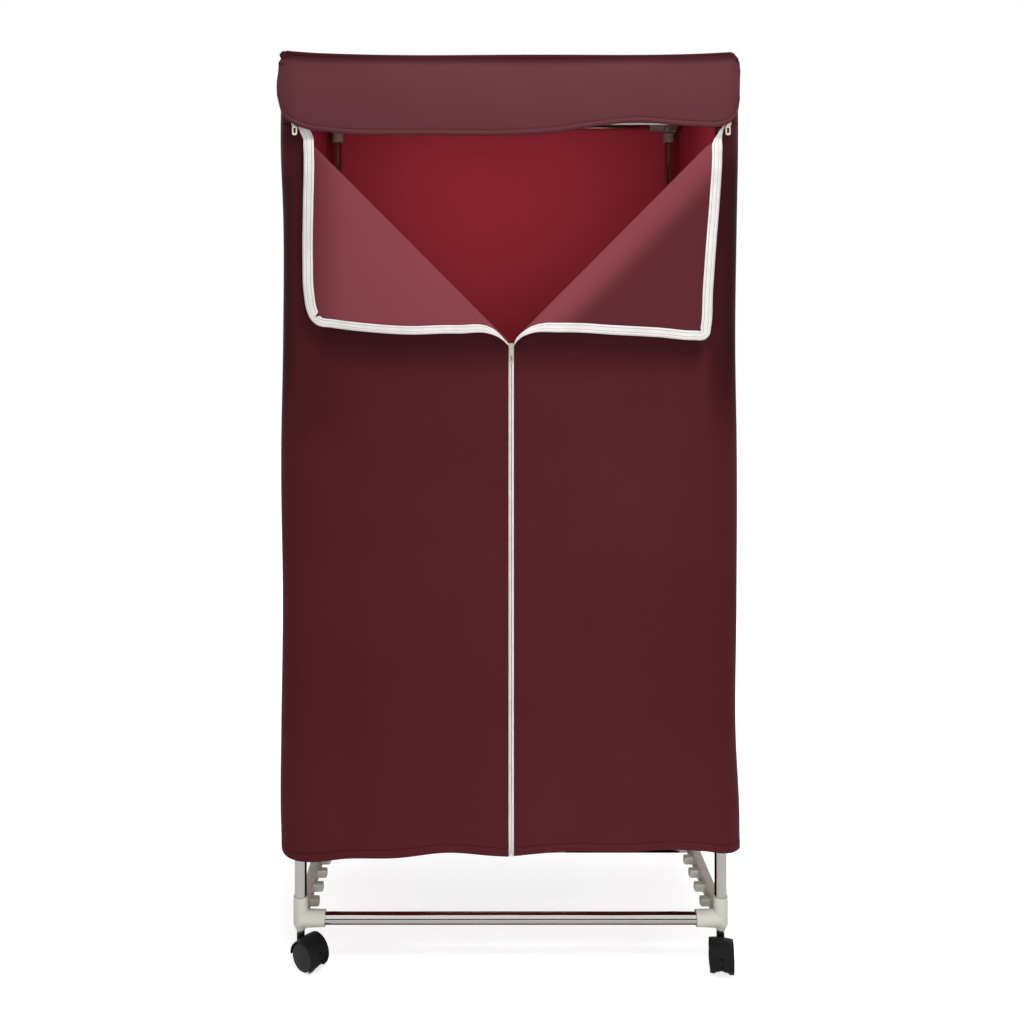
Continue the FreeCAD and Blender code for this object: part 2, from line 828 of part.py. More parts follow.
# Front flap: hangs round the top piping and leans out over the header
def front_flap():
    root_y = front_y - piping_radius - seam_gap - half_fabric
    length = piping_height - flap_edge_low + fabric
    profile = strip_wire((root_y, piping_height), -90 - flap_lean, [(length, flap_curl)], fabric, 0)
    face = Part.Face(profile)
    face.rotate(origin, Vector(1, 1, 1), 120)
    sheet = face.extrude(Vector(flap_width, 0, 0)).translated(Vector(-flap_width / 2, 0, 0))
    half = flap_width / 2
    inset = half - flap_corner_inset
    slant = math.sqrt(0.5)
    seam = side_x - cover_corner - seam_gap
    notch = piping_height - flap_notch
    left_side = [xz(-half, flap_shoulder), xz(-half, notch), xz(-seam, cover_top_height)]
    right_side = [xz(seam, cover_top_height), xz(half, notch), xz(half, flap_shoulder)]
    edges = loop(left_side + right_side)
    drop = flap_shoulder - flap_corner_height
    for s in (-1, 1):
        middle = xz(s * (inset + flap_corner_inset * slant), flap_shoulder - drop * slant)
        edges.append(arc(xz(s * half, flap_shoulder), middle, xz(s * inset, flap_corner_height)))
    low = xz(flap_edge_low_x, flap_edge_low)
    high = xz(flap_edge_high_x, flap_edge_high)
    turn = (low + high) * 0.5
    edges.append(arc(xz(-inset, flap_corner_height), low, turn))
    edges.append(arc(turn, high, xz(inset, flap_corner_height)))
    return sheet.common(front_outline(edges))


def make_cover(parts):
    parts["cover_top"] = top_panel()
    parts["cover_back"] = back_panel()
    parts["cover_left_side"] = side_panel("left")
    parts["cover_right_side"] = side_panel("right")
    parts["cover_header"] = header_panel()
    parts["top_piping"] = top_piping()
    parts["front_flap"] = front_flap()
    for side in ("left", "right"):
        parts["door_panel_" + side] = door_panel(side)
        fold, band = door_fold(side)
        parts["door_fold_" + side] = fold
        parts["fold_zip_band_" + side] = band


# Centre zip: two tapes, each with its row of teeth, with a slit that the slider's blade runs in
def centre_zip():
    bottom = hem_zip
    halves = []
    for s in (-1, 1):
        inner = s * chain_slit / 2
        outer = s * chain_width / 2
        edge = s * tape_width
        tape = block(min(inner, edge), max(inner, edge), tape_front, tape_back, bottom, zip_top)
        chain = block(min(inner, outer), max(inner, outer), chain_front, tape_back, bottom, zip_top)
        halves.append(tape.fuse(chain).removeSplitter())
    return Part.makeCompound(halves)


def header_zip():
    half = side_x - header_zip_inset
    chain_top = header_bottom - seam_gap
    chain_bottom = chain_top - header_zip_height
    tape = block(-half, half, tape_front, tape_back, chain_bottom, header_bottom + tape_width)
    chain = block(-half, half, chain_front, tape_back, chain_bottom, chain_top)
    return tape.fuse(chain).removeSplitter()


# Ears and pin that carry the pull tab, on a slider whose hinge is at the given place
def slider_ears(x, z):
    hinge_y = pull_hinge_y()
    plate_front = chain_front - slider_gap - slider_plate
    gap_half = pull_barrel_length / 2 + slider_gap / 2
    pieces = []
    for s in (-1, 1):
        near = x + s * gap_half
        far = x + s * (gap_half + ear_width)
        start = min(near, far)
        end = max(near, far)
        pieces.append(block(start, end, hinge_y, plate_front, z - ear_height / 2, z + ear_height / 2))
        pieces.append(rod(Vector(start, hinge_y, z), x_axis, ear_height / 2, ear_width))
    pieces.append(rod(Vector(x - gap_half, hinge_y, z), x_axis, pin_radius, 2 * gap_half))
    return pieces


def pull_hinge_y():
    return chain_front - slider_gap - slider_plate - slider_gap - pull_barrel_radius


def centre_slider():
    half = slider_width / 2
    low = zip_top - slider_length / 2
    high = zip_top + slider_length / 2
    front = chain_front - slider_gap
    back = tape_back + slider_gap
    neck = half - slider_plate
    outline = [
        Vector(-neck, front, low),
        Vector(neck, front, low),
        Vector(half, front, high - slider_plate),
        Vector(neck, front, high),
        Vector(-neck, front, high),
        Vector(-half, front, high - slider_plate),
    ]
    face = solid_from(outline, Vector(0, -slider_plate, 0))
    rear = face.translated(Vector(0, back - front + slider_plate, 0))
    blade = block(-slider_blade / 2, slider_blade / 2, front, back, low, high)
    return face.fuse([rear, blade] + slider_ears(0, zip_top)).removeSplitter()


# A slider of the header zip grips its row of teeth from below
def header_slider(x):
    half = slider_length / 2
    chain_top = header_bottom - seam_gap
    chain_bottom = chain_top - header_zip_height
    low = chain_bottom - slider_gap - slider_plate
    high = low + slider_width
    front = chain_front - slider_gap
    back = tape_back + slider_gap
    face = block(x - half, x + half, front - slider_plate, front, low, high)
    rear = block(x - half, x + half, back, back + slider_plate, low, high)
    keel = block(x - half, x + half, front, back, low, low + slider_plate)
    return face.fuse([rear, keel] + slider_ears(x, header_hinge_height())).removeSplitter()


def header_hinge_height():
    return header_bottom - seam_gap - header_zip_height / 2


def pull_tab(x, z, length):
    hinge_y = pull_hinge_y()
    half_neck = pull_barrel_length / 2
    barrel_start = Vector(x - half_neck, hinge_y, z)
    barrel = rod(barrel_start, x_axis, pull_barrel_radius, pull_barrel_length)
    bore = rod(barrel_start, x_axis, pin_radius + pin_fit, pull_barrel_length)
    half = pull_width / 2
    bottom = z - length
    shoulder = z - ear_height / 2 - slider_gap - pull_neck / 2
    back = hinge_y + pull_thickness / 2
    corner = pull_width / 4
    outline = [
        Vector(x - half_neck, back, z),
        Vector(x + half_neck, back, z),
        Vector(x + half_neck, back, shoulder),
        Vector(x + half, back, shoulder - corner),
        Vector(x + half, back, bottom + corner),
        Vector(x + half - corner, back, bottom),
        Vector(x - half + corner, back, bottom),
        Vector(x - half, back, bottom + corner),
        Vector(x - half, back, shoulder - corner),
        Vector(x - half_neck, back, shoulder),
    ]
    tab = solid_from(outline, Vector(0, -pull_thickness, 0))
    hole_half = pull_hole_width / 2
    hole_low = bottom + pull_hole_width
    hole_high = hole_low + pull_hole_length
    hole = block(x - hole_half, x + hole_half, back - pull_width, back + pull_width, hole_low, hole_high)
    return tab.fuse(barrel).cut([bore, hole]).removeSplitter()


def make_zips(parts):
    parts["centre_zip"] = centre_zip()
    parts["header_zip"] = header_zip()
    parts["centre_slider"] = centre_slider()
    parts["centre_pull"] = pull_tab(0, zip_top, pull_length)
    for side, x in (("left", -header_slider_x), ("right", header_slider_x)):
        parts["header_slider_" + side] = header_slider(x)
        parts["header_pull_" + side] = pull_tab(x, header_hinge_height(), header_pull_length)


# Outline of the warm air unit's housing at a height above its foot, drawn in by an inset
def housing_outline(height, inset):
    draw = heater_taper * height / housing_height + inset
    return (
        heater_width - 2 * draw,
        heater_depth - 2 * draw,
        heater_corner - draw / 2,
        0,
        heater_y,
        housing_bottom + height,
    )


def heater_base():
    shape = rounded_block(
        heater_width, heater_depth, heater_corner, 0, heater_y, tray_bottom, housing_bottom
    )
    lip_inset = heater_wall + tray_fit
    lip = tapered_block(housing_outline(0, lip_inset), housing_outline(tray_lip, lip_inset))
    wall = lip_inset + heater_wall
    hollow = rounded_block(
        heater_width - 2 * wall,
        heater_depth - 2 * wall,
        heater_corner - wall / 2,
        0,
        heater_y,
        tray_bottom + tray_floor,
        housing_bottom + 2 * tray_lip,
    )
    seat = rod(
        Vector(0, heater_y, tray_bottom), z_axis, motor_seat_diameter / 2, tray_floor + motor_seat_height
    )
    cuts = []
    for s in (-1, 1):
        y = heater_y + s * (motor_seat_diameter / 2 + inlet_slot_length / 2 + inlet_slot_width)
        for i in range(inlet_slots):
            x = (i - (inlet_slots - 1) / 2) * inlet_pitch
            cuts.append(inlet_slot(x, y))
    shape = shape.fuse(lip).cut(hollow).fuse([seat] + heater_clips())
    return shape.cut(cuts).removeSplitter()


def inlet_slot(x, y):
    return rounded_block(
        inlet_slot_width,
        inlet_slot_length,
        inlet_slot_width / 2 - slip_fit,
        x,
        y,
        tray_bottom - tray_floor,
        tray_bottom + 2 * tray_floor,
    )


# Clips under the tray that sit over the two support rods
def heater_clips():
    clips = []
    for i in support_rod_pegs:
        for s in (-1, 1):
            x = s * clip_spacing / 2
            y = peg_y(i)
            clip = block(
                x - clip_width / 2,
                x + clip_width / 2,
                y - clip_depth / 2,
                y + clip_depth / 2,
                tray_bottom - clip_drop,
                tray_bottom,
            )
            hug = rod(
                Vector(x - clip_width, y, bottom_rail_height), x_axis, tube_radius + rod_fit, 2 * clip_width
            )
            clips.append(clip.cut(hug))
    return clips


def panel_face_y():
    return heater_y - heater_depth / 2 - panel_stand


def control_height():
    return housing_bottom + panel_centre_height


def heater_housing():
    outer = tapered_block(housing_outline(0, 0), housing_outline(housing_height, 0))
    inner = tapered_block(housing_outline(0, heater_wall), housing_outline(housing_height, heater_wall))
    face = Part.Face(rounded_wire(panel_width, panel_height, panel_corner, 0, 0, 0))
    panel = face.extrude(Vector(0, 0, panel_stand + heater_taper))
    panel.rotate(origin, x_axis, -90)
    panel = panel.translated(Vector(0, panel_face_y(), control_height()))
    shaft_x = control_spacing / 2
    reach = 4 * panel_stand
    cuts = [
        inner,
        rod(
            Vector(shaft_x, panel_face_y() - reach, control_height()),
            y_axis,
            timer_shaft_diameter / 2 + timer_shaft_fit,
            3 * reach,
        ),
        block(
            -shaft_x - rocker_width / 2 - rocker_gap,
            -shaft_x + rocker_width / 2 + rocker_gap,
            panel_face_y() - reach,
            panel_face_y() + 2 * reach,
            control_height() - rocker_height / 2 - rocker_gap,
            control_height() + rocker_height / 2 + rocker_gap,
        ),
        rod(
            Vector(0, heater_y, housing_bottom + gland_height),
            y_axis,
            gland_diameter / 2 + slip_fit,
            heater_depth,
        ),
    ]
    bearing = rod(
        Vector(-shaft_x - rocker_width / 2 - rocker_gap, rocker_axis_y(), control_height()),
        x_axis,
        rocker_pin_radius,
        rocker_width + 2 * rocker_gap,
    )
    return outer.fuse(panel).cut(cuts).fuse(bearing).removeSplitter()


# The same outline drawn in by an inset, at a height further up
def drawn_in(outline, inset, rise):
    width, depth, radius, x, y, z = outline
    return (width - 2 * inset, depth - 2 * inset, radius - inset / 2, x, y, z + rise)


def outlet_grille():
    foot = housing_outline(housing_height, 0)
    crown = drawn_in(foot, grille_taper, grille_height)
    low = drawn_in(foot, grille_wall, 0)
    high = drawn_in(crown, grille_wall, -grille_wall)
    shell = tapered_block(foot, crown).cut(tapered_block(low, high))
    span = crown[1] - 2 * grille_wall - 2 * grille_bar
    pitch = grille_slot + grille_bar
    count = int((crown[0] - crown[2]) / pitch)
    slots = []
    for i in range(count):
        x = (i - (count - 1) / 2) * pitch
        for s in (-1, 1):
            y = heater_y + s * (span / 4 + grille_bar / 4)
            slots.append(
                rounded_block(
                    grille_slot,
                    span / 2 - grille_bar / 2,
                    grille_slot / 2 - slip_fit,
                    x,
                    y,
                    housing_top + grille_height - 2 * grille_wall,
                    housing_top + grille_height + grille_wall,
                )
            )
    return shell.cut(slots).removeSplitter()


def motor_bottom():
    return tray_bottom + tray_floor + motor_seat_height


def fan_bottom():
    return motor_bottom() + motor_height + fan_lift


def fan_motor():
    can = rod(Vector(0, heater_y, motor_bottom()), z_axis, motor_diameter / 2, motor_height)
    cap = Part.makeCone(
        motor_diameter / 2,
        motor_diameter / 4,
        fan_lift / 2,
        Vector(0, heater_y, motor_bottom() + motor_height),
        z_axis,
    )
    shaft = rod(
        Vector(0, heater_y, motor_bottom() + motor_height), z_axis, shaft_diameter / 2, shaft_length
    )
    return can.fuse([cap, shaft]).removeSplitter()


# Axial fan: a hub and twisted blades, each a loft from its root to its tip
def fan():
    base = fan_bottom()
    hub = fan_hub_diameter / 2
    tip = fan_diameter / 2
    ring = rod(Vector(0, heater_y, base), z_axis, hub, fan_height)
    blades = []
    for i in range(fan_blades):
        root = blade_section(hub - blade_thickness, blade_root_pitch, blade_root_chord)
        end = blade_section(tip, blade_tip_pitch, blade_tip_chord)
        blade = Part.makeLoft([root, end], True, True)
        blades.append(blade.rotated(Vector(0, heater_y, 0), z_axis, 360 * i / fan_blades))
    swept = rod(Vector(0, heater_y, base), z_axis, tip, fan_height)
    bore = rod(Vector(0, heater_y, base), z_axis, shaft_diameter / 2 + axle_fit, fan_height)
    wheel = ring.fuse([b.common(swept) for b in blades])
    return wheel.cut(bore).removeSplitter()


def blade_section(radius, pitch, chord):
    middle = fan_bottom() + fan_height / 2
    lean = math.radians(pitch)
    along = Vector(0, math.cos(lean), math.sin(lean))
    across = Vector(0, -math.sin(lean), math.cos(lean))
    centre = Vector(radius, heater_y, middle)
    points = []
    for a, b in ((-1, -1), (1, -1), (1, 1), (-1, 1)):
        points.append(centre + along * (a * chord / 2) + across * (b * blade_thickness / 2))
    return Part.makePolygon(points + points[:1])


def duct_top():
    return fan_bottom() + fan_height + duct_above_fan + duct_plate


# Plate across the housing with the round duct that the fan turns in
def fan_duct():
    bore = fan_diameter / 2 + duct_gap
    top = duct_top()
    inset = heater_wall + tray_fit
    low = housing_outline(top - duct_plate - housing_bottom, inset)
    high = housing_outline(top - housing_bottom, inset)
    plate = tapered_block(low, high)
    tube = rod(Vector(0, heater_y, top - duct_plate - duct_height), z_axis, bore + duct_wall, duct_height)
    hole = rod(Vector(0, heater_y, top - duct_plate - duct_height), z_axis, bore, duct_height + duct_plate)
    timer_room = block(
        control_spacing / 2 - timer_width,
        control_spacing / 2 + timer_width,
        heater_y - heater_depth,
        timer_back() + slip_fit * 2,
        0,
        cover_top_height,
    )
    return plate.fuse(tube).cut([hole, timer_room]).removeSplitter()


def timer_back():
    return panel_back() + timer_depth


# Flat at the back of the control panel, inside the housing's wall
def panel_back():
    timer_top = panel_centre_height + timer_width / 2
    draw = heater_taper * timer_top / housing_height
    return heater_y - heater_depth / 2 + heater_wall + draw + slip_fit


# Heating element: a frame with bars and rows of fins
def heating_element():
    base = duct_top()
    hw = element_width / 2
    hd = element_depth / 2
    frame = block(-hw, hw, heater_y - hd, heater_y + hd, base, base + element_height)
    window = block(
        -hw + element_frame,
        hw - element_frame,
        heater_y - hd + element_frame,
        heater_y + hd - element_frame,
        base,
        base + element_height,
    )
    pieces = []
    inner_depth = element_depth - 2 * element_frame
    for i in range(element_bars):
        y = heater_y + ((i + 0.5) / element_bars - 0.5) * inner_depth
        half = element_bar_width / 2
        pieces.append(block(-hw, hw, y - half, y + half, base + half, base + element_height - half))
    inner_width = element_width - 2 * element_frame
    for i in range(fin_count):
        x = ((i + 0.5) / fin_count - 0.5) * inner_width
        half = fin_thickness / 2
        low = base + element_frame
        high = base + element_height - element_frame
        pieces.append(block(x - half, x + half, heater_y - hd, heater_y + hd, low, high))
    return frame.cut(window).fuse(pieces).removeSplitter()


# Clockwork timer behind the panel, with its shaft through it
def timer():
    x = control_spacing / 2
    z = control_height()
    half = timer_width / 2
    case = block(x - half, x + half, panel_back(), timer_back(), z - half, z + half)
    shaft_end = panel_face_y() - knob_bore_depth
    shaft = rod(Vector(x, shaft_end, z), y_axis, timer_shaft_diameter / 2, panel_back() - shaft_end)
    return case.fuse(shaft).removeSplitter()


def timer_knob():
    x = control_spacing / 2
    z = control_height()
    back = panel_face_y() - knob_gap
    radius = knob_diameter / 2
    skirt = knob_height / 3
    body = rod(Vector(x, back, z), -y_axis, radius, skirt)
    grip_start = Vector(x, back - skirt, z)
    grip = Part.makeCone(radius, radius - knob_taper, knob_height - skirt, grip_start, -y_axis)
    cuts = [rod(Vector(x, back, z), -y_axis, timer_shaft_diameter / 2 + knob_shaft_fit, knob_bore_depth)]
    for i in range(knob_flutes):
        turn = 2 * math.pi * (i + 0.5) / knob_flutes
        place = Vector(x + radius * math.cos(turn), back - skirt, z + radius * math.sin(turn))
        cuts.append(rod(place, -y_axis, knob_flute_radius, knob_height))
    front = back - knob_height
    half = knob_pointer_width / 2
    cuts.append(block(x - half, x + half, front, front + knob_pointer_depth, z + radius / 3, z + radius))
    return body.fuse(grip).cut(cuts).removeSplitter()


def rocker_axis_y():
    return panel_face_y() + rocker_depth / 2


# Rocker key: shallow V face, tilted to its off side, turning on a pin in the panel
def power_rocker():
    x = -control_spacing / 2
    z = control_height()
    half = rocker_height / 2
    front = panel_face_y() - rocker_stand
    back = panel_face_y() + rocker_depth
    start_x = x - rocker_width / 2
    narrow = half - rocker_depth * math.tan(math.radians(rocker_tilt))
    points = [
        Vector(start_x, front, z - half),
        Vector(start_x, front + rocker_stand, z),
        Vector(start_x, front, z + half),
        Vector(start_x, back, z + narrow / 2),
        Vector(start_x, back, z - narrow / 2),
    ]
    key = solid_from(points, Vector(rocker_width, 0, 0))
    pin_start = Vector(start_x, rocker_axis_y(), z)
    bore = rod(pin_start, x_axis, rocker_pin_radius + pin_fit, rocker_width)
    return key.cut(bore).rotated(pin_start, x_axis, rocker_tilt)


# Gland in the rear wall: a flanged bush with a tapered nose
def cord_gland():
    z = housing_bottom + gland_height
    wall_y = heater_y + heater_depth / 2
    draft = heater_taper / housing_height
    seat = wall_y - draft * (gland_height - gland_flange / 2) + slip_fit
    inner = wall_y - draft * (gland_height + gland_flange / 2) - 2 * heater_wall
    barrel = rod(Vector(0, inner, z), y_axis, gland_diameter / 2, seat - inner)
    flange = rod(Vector(0, seat, z), y_axis, gland_flange / 2, heater_wall)
    nose_start = Vector(0, seat + heater_wall, z)
    nose_tip = gland_bore / 2 + heater_wall / 2
    nose = Part.makeCone(gland_diameter / 2, nose_tip, gland_length, nose_start, y_axis)
    bore = rod(Vector(0, inner, z), y_axis, gland_bore / 2, gland_length + heater_depth)
    return barrel.fuse([flange, nose]).cut(bore).removeSplitter()


def make_heater(parts):
    parts["heater_base"] = heater_base()
    parts["heater_housing"] = heater_housing()
    parts["outlet_grille"] = outlet_grille()
    parts["fan_motor"] = fan_motor()
    parts["fan"] = fan()
    parts["fan_duct"] = fan_duct()
    parts["heating_element"] = heating_element()
    parts["timer"] = timer()
    parts["timer_knob"] = timer_knob()
    parts["power_rocker"] = power_rocker()
    parts["cord_gland"] = cord_gland()


def main():
    parts = {}
    for make in (make_connectors, make_tubes, make_rails, make_castors, make_cover, make_zips, make_heater):
        make(parts)
    os.makedirs("parts", exist_ok=True)
    for name, shape in parts.items():
        shape.exportStep(os.path.join("parts", name + ".step"))
        sound = shape.isValid() and all(s.isClosed() for s in shape.Shells)
        print(name, "solids", len(shape.Solids), "volume", round(shape.Volume, 1), "sound", sound)


main()
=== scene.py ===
import json
from math import cos, hypot, pi, radians, sin, tau
import bmesh
import bpy
import numpy as np
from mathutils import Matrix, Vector


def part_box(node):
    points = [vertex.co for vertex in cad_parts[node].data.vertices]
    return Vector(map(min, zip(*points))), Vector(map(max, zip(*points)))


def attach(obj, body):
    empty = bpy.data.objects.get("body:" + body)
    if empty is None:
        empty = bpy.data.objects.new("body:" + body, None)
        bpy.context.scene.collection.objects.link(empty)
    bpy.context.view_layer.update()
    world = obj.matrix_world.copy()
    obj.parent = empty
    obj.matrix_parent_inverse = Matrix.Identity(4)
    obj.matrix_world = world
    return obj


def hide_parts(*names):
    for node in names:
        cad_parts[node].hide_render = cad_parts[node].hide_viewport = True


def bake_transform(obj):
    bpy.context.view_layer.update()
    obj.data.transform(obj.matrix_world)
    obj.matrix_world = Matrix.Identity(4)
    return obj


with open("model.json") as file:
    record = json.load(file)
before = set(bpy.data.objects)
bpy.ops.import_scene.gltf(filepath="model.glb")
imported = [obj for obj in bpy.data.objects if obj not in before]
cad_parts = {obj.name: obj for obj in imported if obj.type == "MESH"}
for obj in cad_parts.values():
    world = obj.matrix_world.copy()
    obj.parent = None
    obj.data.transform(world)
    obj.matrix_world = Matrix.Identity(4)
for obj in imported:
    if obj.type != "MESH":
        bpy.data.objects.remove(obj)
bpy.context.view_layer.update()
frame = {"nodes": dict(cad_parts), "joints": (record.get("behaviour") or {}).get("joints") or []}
nodes = frame["nodes"]
scene = bpy.context.scene
print("frame loaded:", len(nodes), "nodes")


# sRGB to linear: ((c + 0.055) / 1.055) to the power 2.4
def tone(r, g, b):
    c = (np.array([r, g, b]) / 255.0 + 0.055) / 1.055
    return (*(c ** 2.4).tolist(), 1.0)


# smooth step: 3 t squared minus 2 t cubed, t held between 0 and 1
def ease(t):
    t = np.clip(t, 0.0, 1.0)
    return t * t * (3 - 2 * t)


# smooth step up: ease of (v - start) / run
def stepUp(v, start, run):
    return ease((v - start) / run)


# smooth step down: ease of (end - v) / run
def stepDown(v, end, run):
    return ease((end - v) / run)


# bell: e to the power of minus the square of (v - middle) / width
def bell(v, middle, width):
    return np.exp(-((v - middle) / width) ** 2)


# arrays side by side along a last axis: points from x, y and z, or UV from two runs
def stacked(*parts):
    return np.stack(np.broadcast_arrays(*parts), -1)


# cubic through the given values: on each stretch a Hermite cubic whose end slopes are those of its neighbours
def through(at, values, t):
    at, p = np.asarray(at, float), np.asarray(values, float)
    flat = p.ndim == 1
    p = p[:, None] if flat else p
    slope = np.gradient(p, at, axis=0)
    t = np.clip(t, at[0], at[-1])
    i = np.clip(np.searchsorted(at, t, side="right") - 1, 0, len(at) - 2)
    h = (at[i + 1] - at[i])[..., None]
    s = (t[..., None] - at[i][..., None]) / h
    out = (2 * s**3 - 3 * s**2 + 1) * p[i] + (s**3 - 2 * s**2 + s) * h * slope[i]
    out = out + (3 * s**2 - 2 * s**3) * p[i + 1] + (s**3 - s**2) * h * slope[i + 1]
    return out[..., 0] if flat else out


# length so far at each point of a line: its steps added up
def runOf(points):
    return np.r_[0, np.cumsum(np.linalg.norm(np.diff(points, axis=0), axis=1))]


# points spaced evenly by length along the cubic through the given points
def along(points, t):
    p = np.asarray(points, float)
    run = runOf(p)
    fine = np.linspace(0, run[-1], 600)
    length = runOf(through(run, p, fine))
    return through(run, p, np.interp(t * length[-1], length, fine))


# slow unevenness of cloth: sine waves of given length, height and direction, added up
def rumple(x, z, waves, seed):
    phase = np.random.default_rng(seed).uniform(0, tau, len(waves))
    total = np.zeros(np.broadcast(x, z).shape)
    for (length, height, turn), start in zip(waves, phase):
        a = radians(turn)
        total += height * np.sin(tau * (x * cos(a) + z * sin(a)) / length + start)
    return total


# one mesh from grids of points: a quad between each four neighbours, shared rows merged, with a wall thickness
def putSurface(name, grids, body, mats, thick=0.0, offset=0.0, wrap=False, flip=False, even=True):
    points, quads, uvs, base = [], [], [], 0
    for grid, uv in grids:
        rows, cols = grid.shape[:2]
        index = base + np.arange(rows * cols).reshape(rows, cols)
        a, b, c, d = index[:-1, :-1], index[:-1, 1:], index[1:, 1:], index[1:, :-1]
        face = np.stack([a, b, c, d], -1).reshape(-1, 4)
        quads.append(face[:, ::-1] if flip else face)
        points.append(grid.reshape(-1, 3))
        uvs.append(uv.reshape(-1, 2))
        base += rows * cols
    points, quads, uvs = np.vstack(points), np.vstack(quads), np.vstack(uvs)
    mesh = bpy.data.meshes.new(name)
    mesh.from_pydata(points.tolist(), [], quads.tolist())
    layer = mesh.uv_layers.new(name="cut")
    layer.data.foreach_set("uv", uvs[quads.ravel()].ravel().astype(np.float32))
    if len(grids) > 1 or wrap:
        bm = bmesh.new()
        bm.from_mesh(mesh)
        bmesh.ops.remove_doubles(bm, verts=bm.verts, dist=2e-5)
        bm.to_mesh(mesh)
        bm.free()
    mesh.polygons.foreach_set("use_smooth", np.ones(len(mesh.polygons), bool))
    piece = bpy.data.objects.new(name, mesh)
    scene.collection.objects.link(piece)
    for m in mats:
        mesh.materials.append(m)
    if thick:
        wall = piece.modifiers.new("wall", "SOLIDIFY")
        wall.thickness, wall.offset, wall.use_even_offset = thick, offset, even
        wall.material_offset = 1 if len(mats) > 1 else 0
    if body:
        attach(piece, body)
    return piece


# a profile of (across, up) points carried along a path: path point + across * side + up * lift
def carry(path, side, lift, profile):
    across, up = profile[None, :, :1], profile[None, :, 1:]
    grid = path[:, None, :] + np.array(side, float) * across + np.array(lift, float) * up
    return grid, stacked(runOf(profile)[None, :], runOf(path)[:, None])


# circle of the given radius as a closed profile: radius * cos and radius * sin
def ringProfile(radius, sides):
    a = np.linspace(0, tau, sides + 1)
    return radius * stacked(np.cos(a), np.sin(a))


# one number at each point of a piece, for its material to read
def markPoints(piece, name, values):
    mark = piece.data.attributes.new(name, "FLOAT", "POINT")
    mark.data.foreach_set("value", values.ravel().astype(np.float32))


# new node material, with the shader's sockets set to the given values
def newMaterial(name, **sockets):
    mat = bpy.data.materials.new(name)
    mat.use_nodes = True
    shader = mat.node_tree.nodes["Principled BSDF"]
    for key, value in sockets.items():
        shader.inputs[key.replace("_", " ")].default_value = value
    return mat, mat.node_tree, shader


# value to an input: a link from a socket, or else a fixed value
def feed(tree, socket, value):
    if hasattr(value, "links"):
        tree.links.new(value, socket)
    else:
        socket.default_value = value


# new node, each value to the setting of that name or else to the input socket
def addNode(tree, kind, **values):
    node = tree.nodes.new(kind)
    for key, value in values.items():
        if hasattr(node, key):
            setattr(node, key, value)
        else:
            feed(tree, node.inputs[key.replace("_", " ")], value)
    return node


# one arithmetic node on two sockets or numbers, returned as its output socket
def mathNode(tree, operation, a, b=0.0):
    node = addNode(tree, "ShaderNodeMath", operation=operation)
    feed(tree, node.inputs[0], a)
    feed(tree, node.inputs[1], b)
    return node.outputs[0]


# second colour laid over the first by a share, returned as a socket
def overlay(tree, share, under, over, blend="MIX"):
    mix = addNode(tree, "ShaderNodeMix", data_type="RGBA", blend_type=blend)
    for index, value in ((0, share), (6, under), (7, over)):
        feed(tree, mix.inputs[index], value)
    return mix.outputs[2]


# bump of the given strength and distance on the shader's normal
def addBump(tree, shader, height, strength, distance):
    bump = addNode(tree, "ShaderNodeBump", Height=height, Strength=strength, Distance=distance)
    feed(tree, shader.inputs["Normal"], bump.outputs[0])


# roughness between two values, driven by a socket from 0 to 1
def addGloss(tree, shader, driver, low, high):
    span = addNode(tree, "ShaderNodeMapRange", Value=driver, To_Min=low, To_Max=high)
    feed(tree, shader.inputs["Roughness"], span.outputs[0])


# two colours mixed by a noise on Object coordinates: the colour socket and the noise
def mottle(tree, low, high, scale, detail=3.0, stretch=(1, 1, 1)):
    place = tree.nodes.new("ShaderNodeTexCoord").outputs["Object"]
    turn = addNode(tree, "ShaderNodeMapping", Vector=place, Scale=stretch)
    noise = addNode(tree, "ShaderNodeTexNoise", Vector=turn.outputs[0], Scale=scale, Detail=detail, Roughness=0.55)
    ramp = addNode(tree, "ShaderNodeValToRGB", Fac=noise.outputs[0])
    for stop, at, colour in zip(ramp.color_ramp.elements, (0.32, 0.68), (low, high)):
        stop.position, stop.color = at, tone(*colour)
    return ramp.outputs[0], noise.outputs[0]


# 1 over the first share of each pitch: fraction of run / pitch below the share
def dashes(tree, run, pitch, share):
    part = mathNode(tree, "FRACT", mathNode(tree, "DIVIDE", run, pitch))
    return mathNode(tree, "LESS_THAN", part, share)


# 1 within half a width of a line: distance from the middle below half
def stripe(tree, across, middle, half):
    off = mathNode(tree, "ABSOLUTE", mathNode(tree, "SUBTRACT", across, middle))
    return mathNode(tree, "LESS_THAN", off, half)


# the cut's UV as one socket and as its two coordinates
def cutUv(tree):
    cut = tree.nodes.new("ShaderNodeTexCoord").outputs["UV"]
    split = addNode(tree, "ShaderNodeSeparateXYZ", Vector=cut)
    return cut, split.outputs[0], split.outputs[1]


# sine bands on the cut's UV, returned as a socket from 0 to 1
def bands(tree, cut, direction, scale, distortion, detail):
    wave = addNode(tree, "ShaderNodeTexWave", wave_type="BANDS", bands_direction=direction, Vector=cut, Scale=scale,
                   Distortion=distortion, Detail=detail)
    return wave.outputs["Fac"]


# rows of stitches: 1 within half a thread of a row, where the run is in a stitch
def stitchMask(tree, across, run, rows, pitch, thread, share=0.68):
    total = stripe(tree, across, rows[0], thread)
    for row in rows[1:]:
        total = mathNode(tree, "MAXIMUM", total, stripe(tree, across, row, thread))
    return mathNode(tree, "MULTIPLY", total, dashes(tree, run, pitch, share))


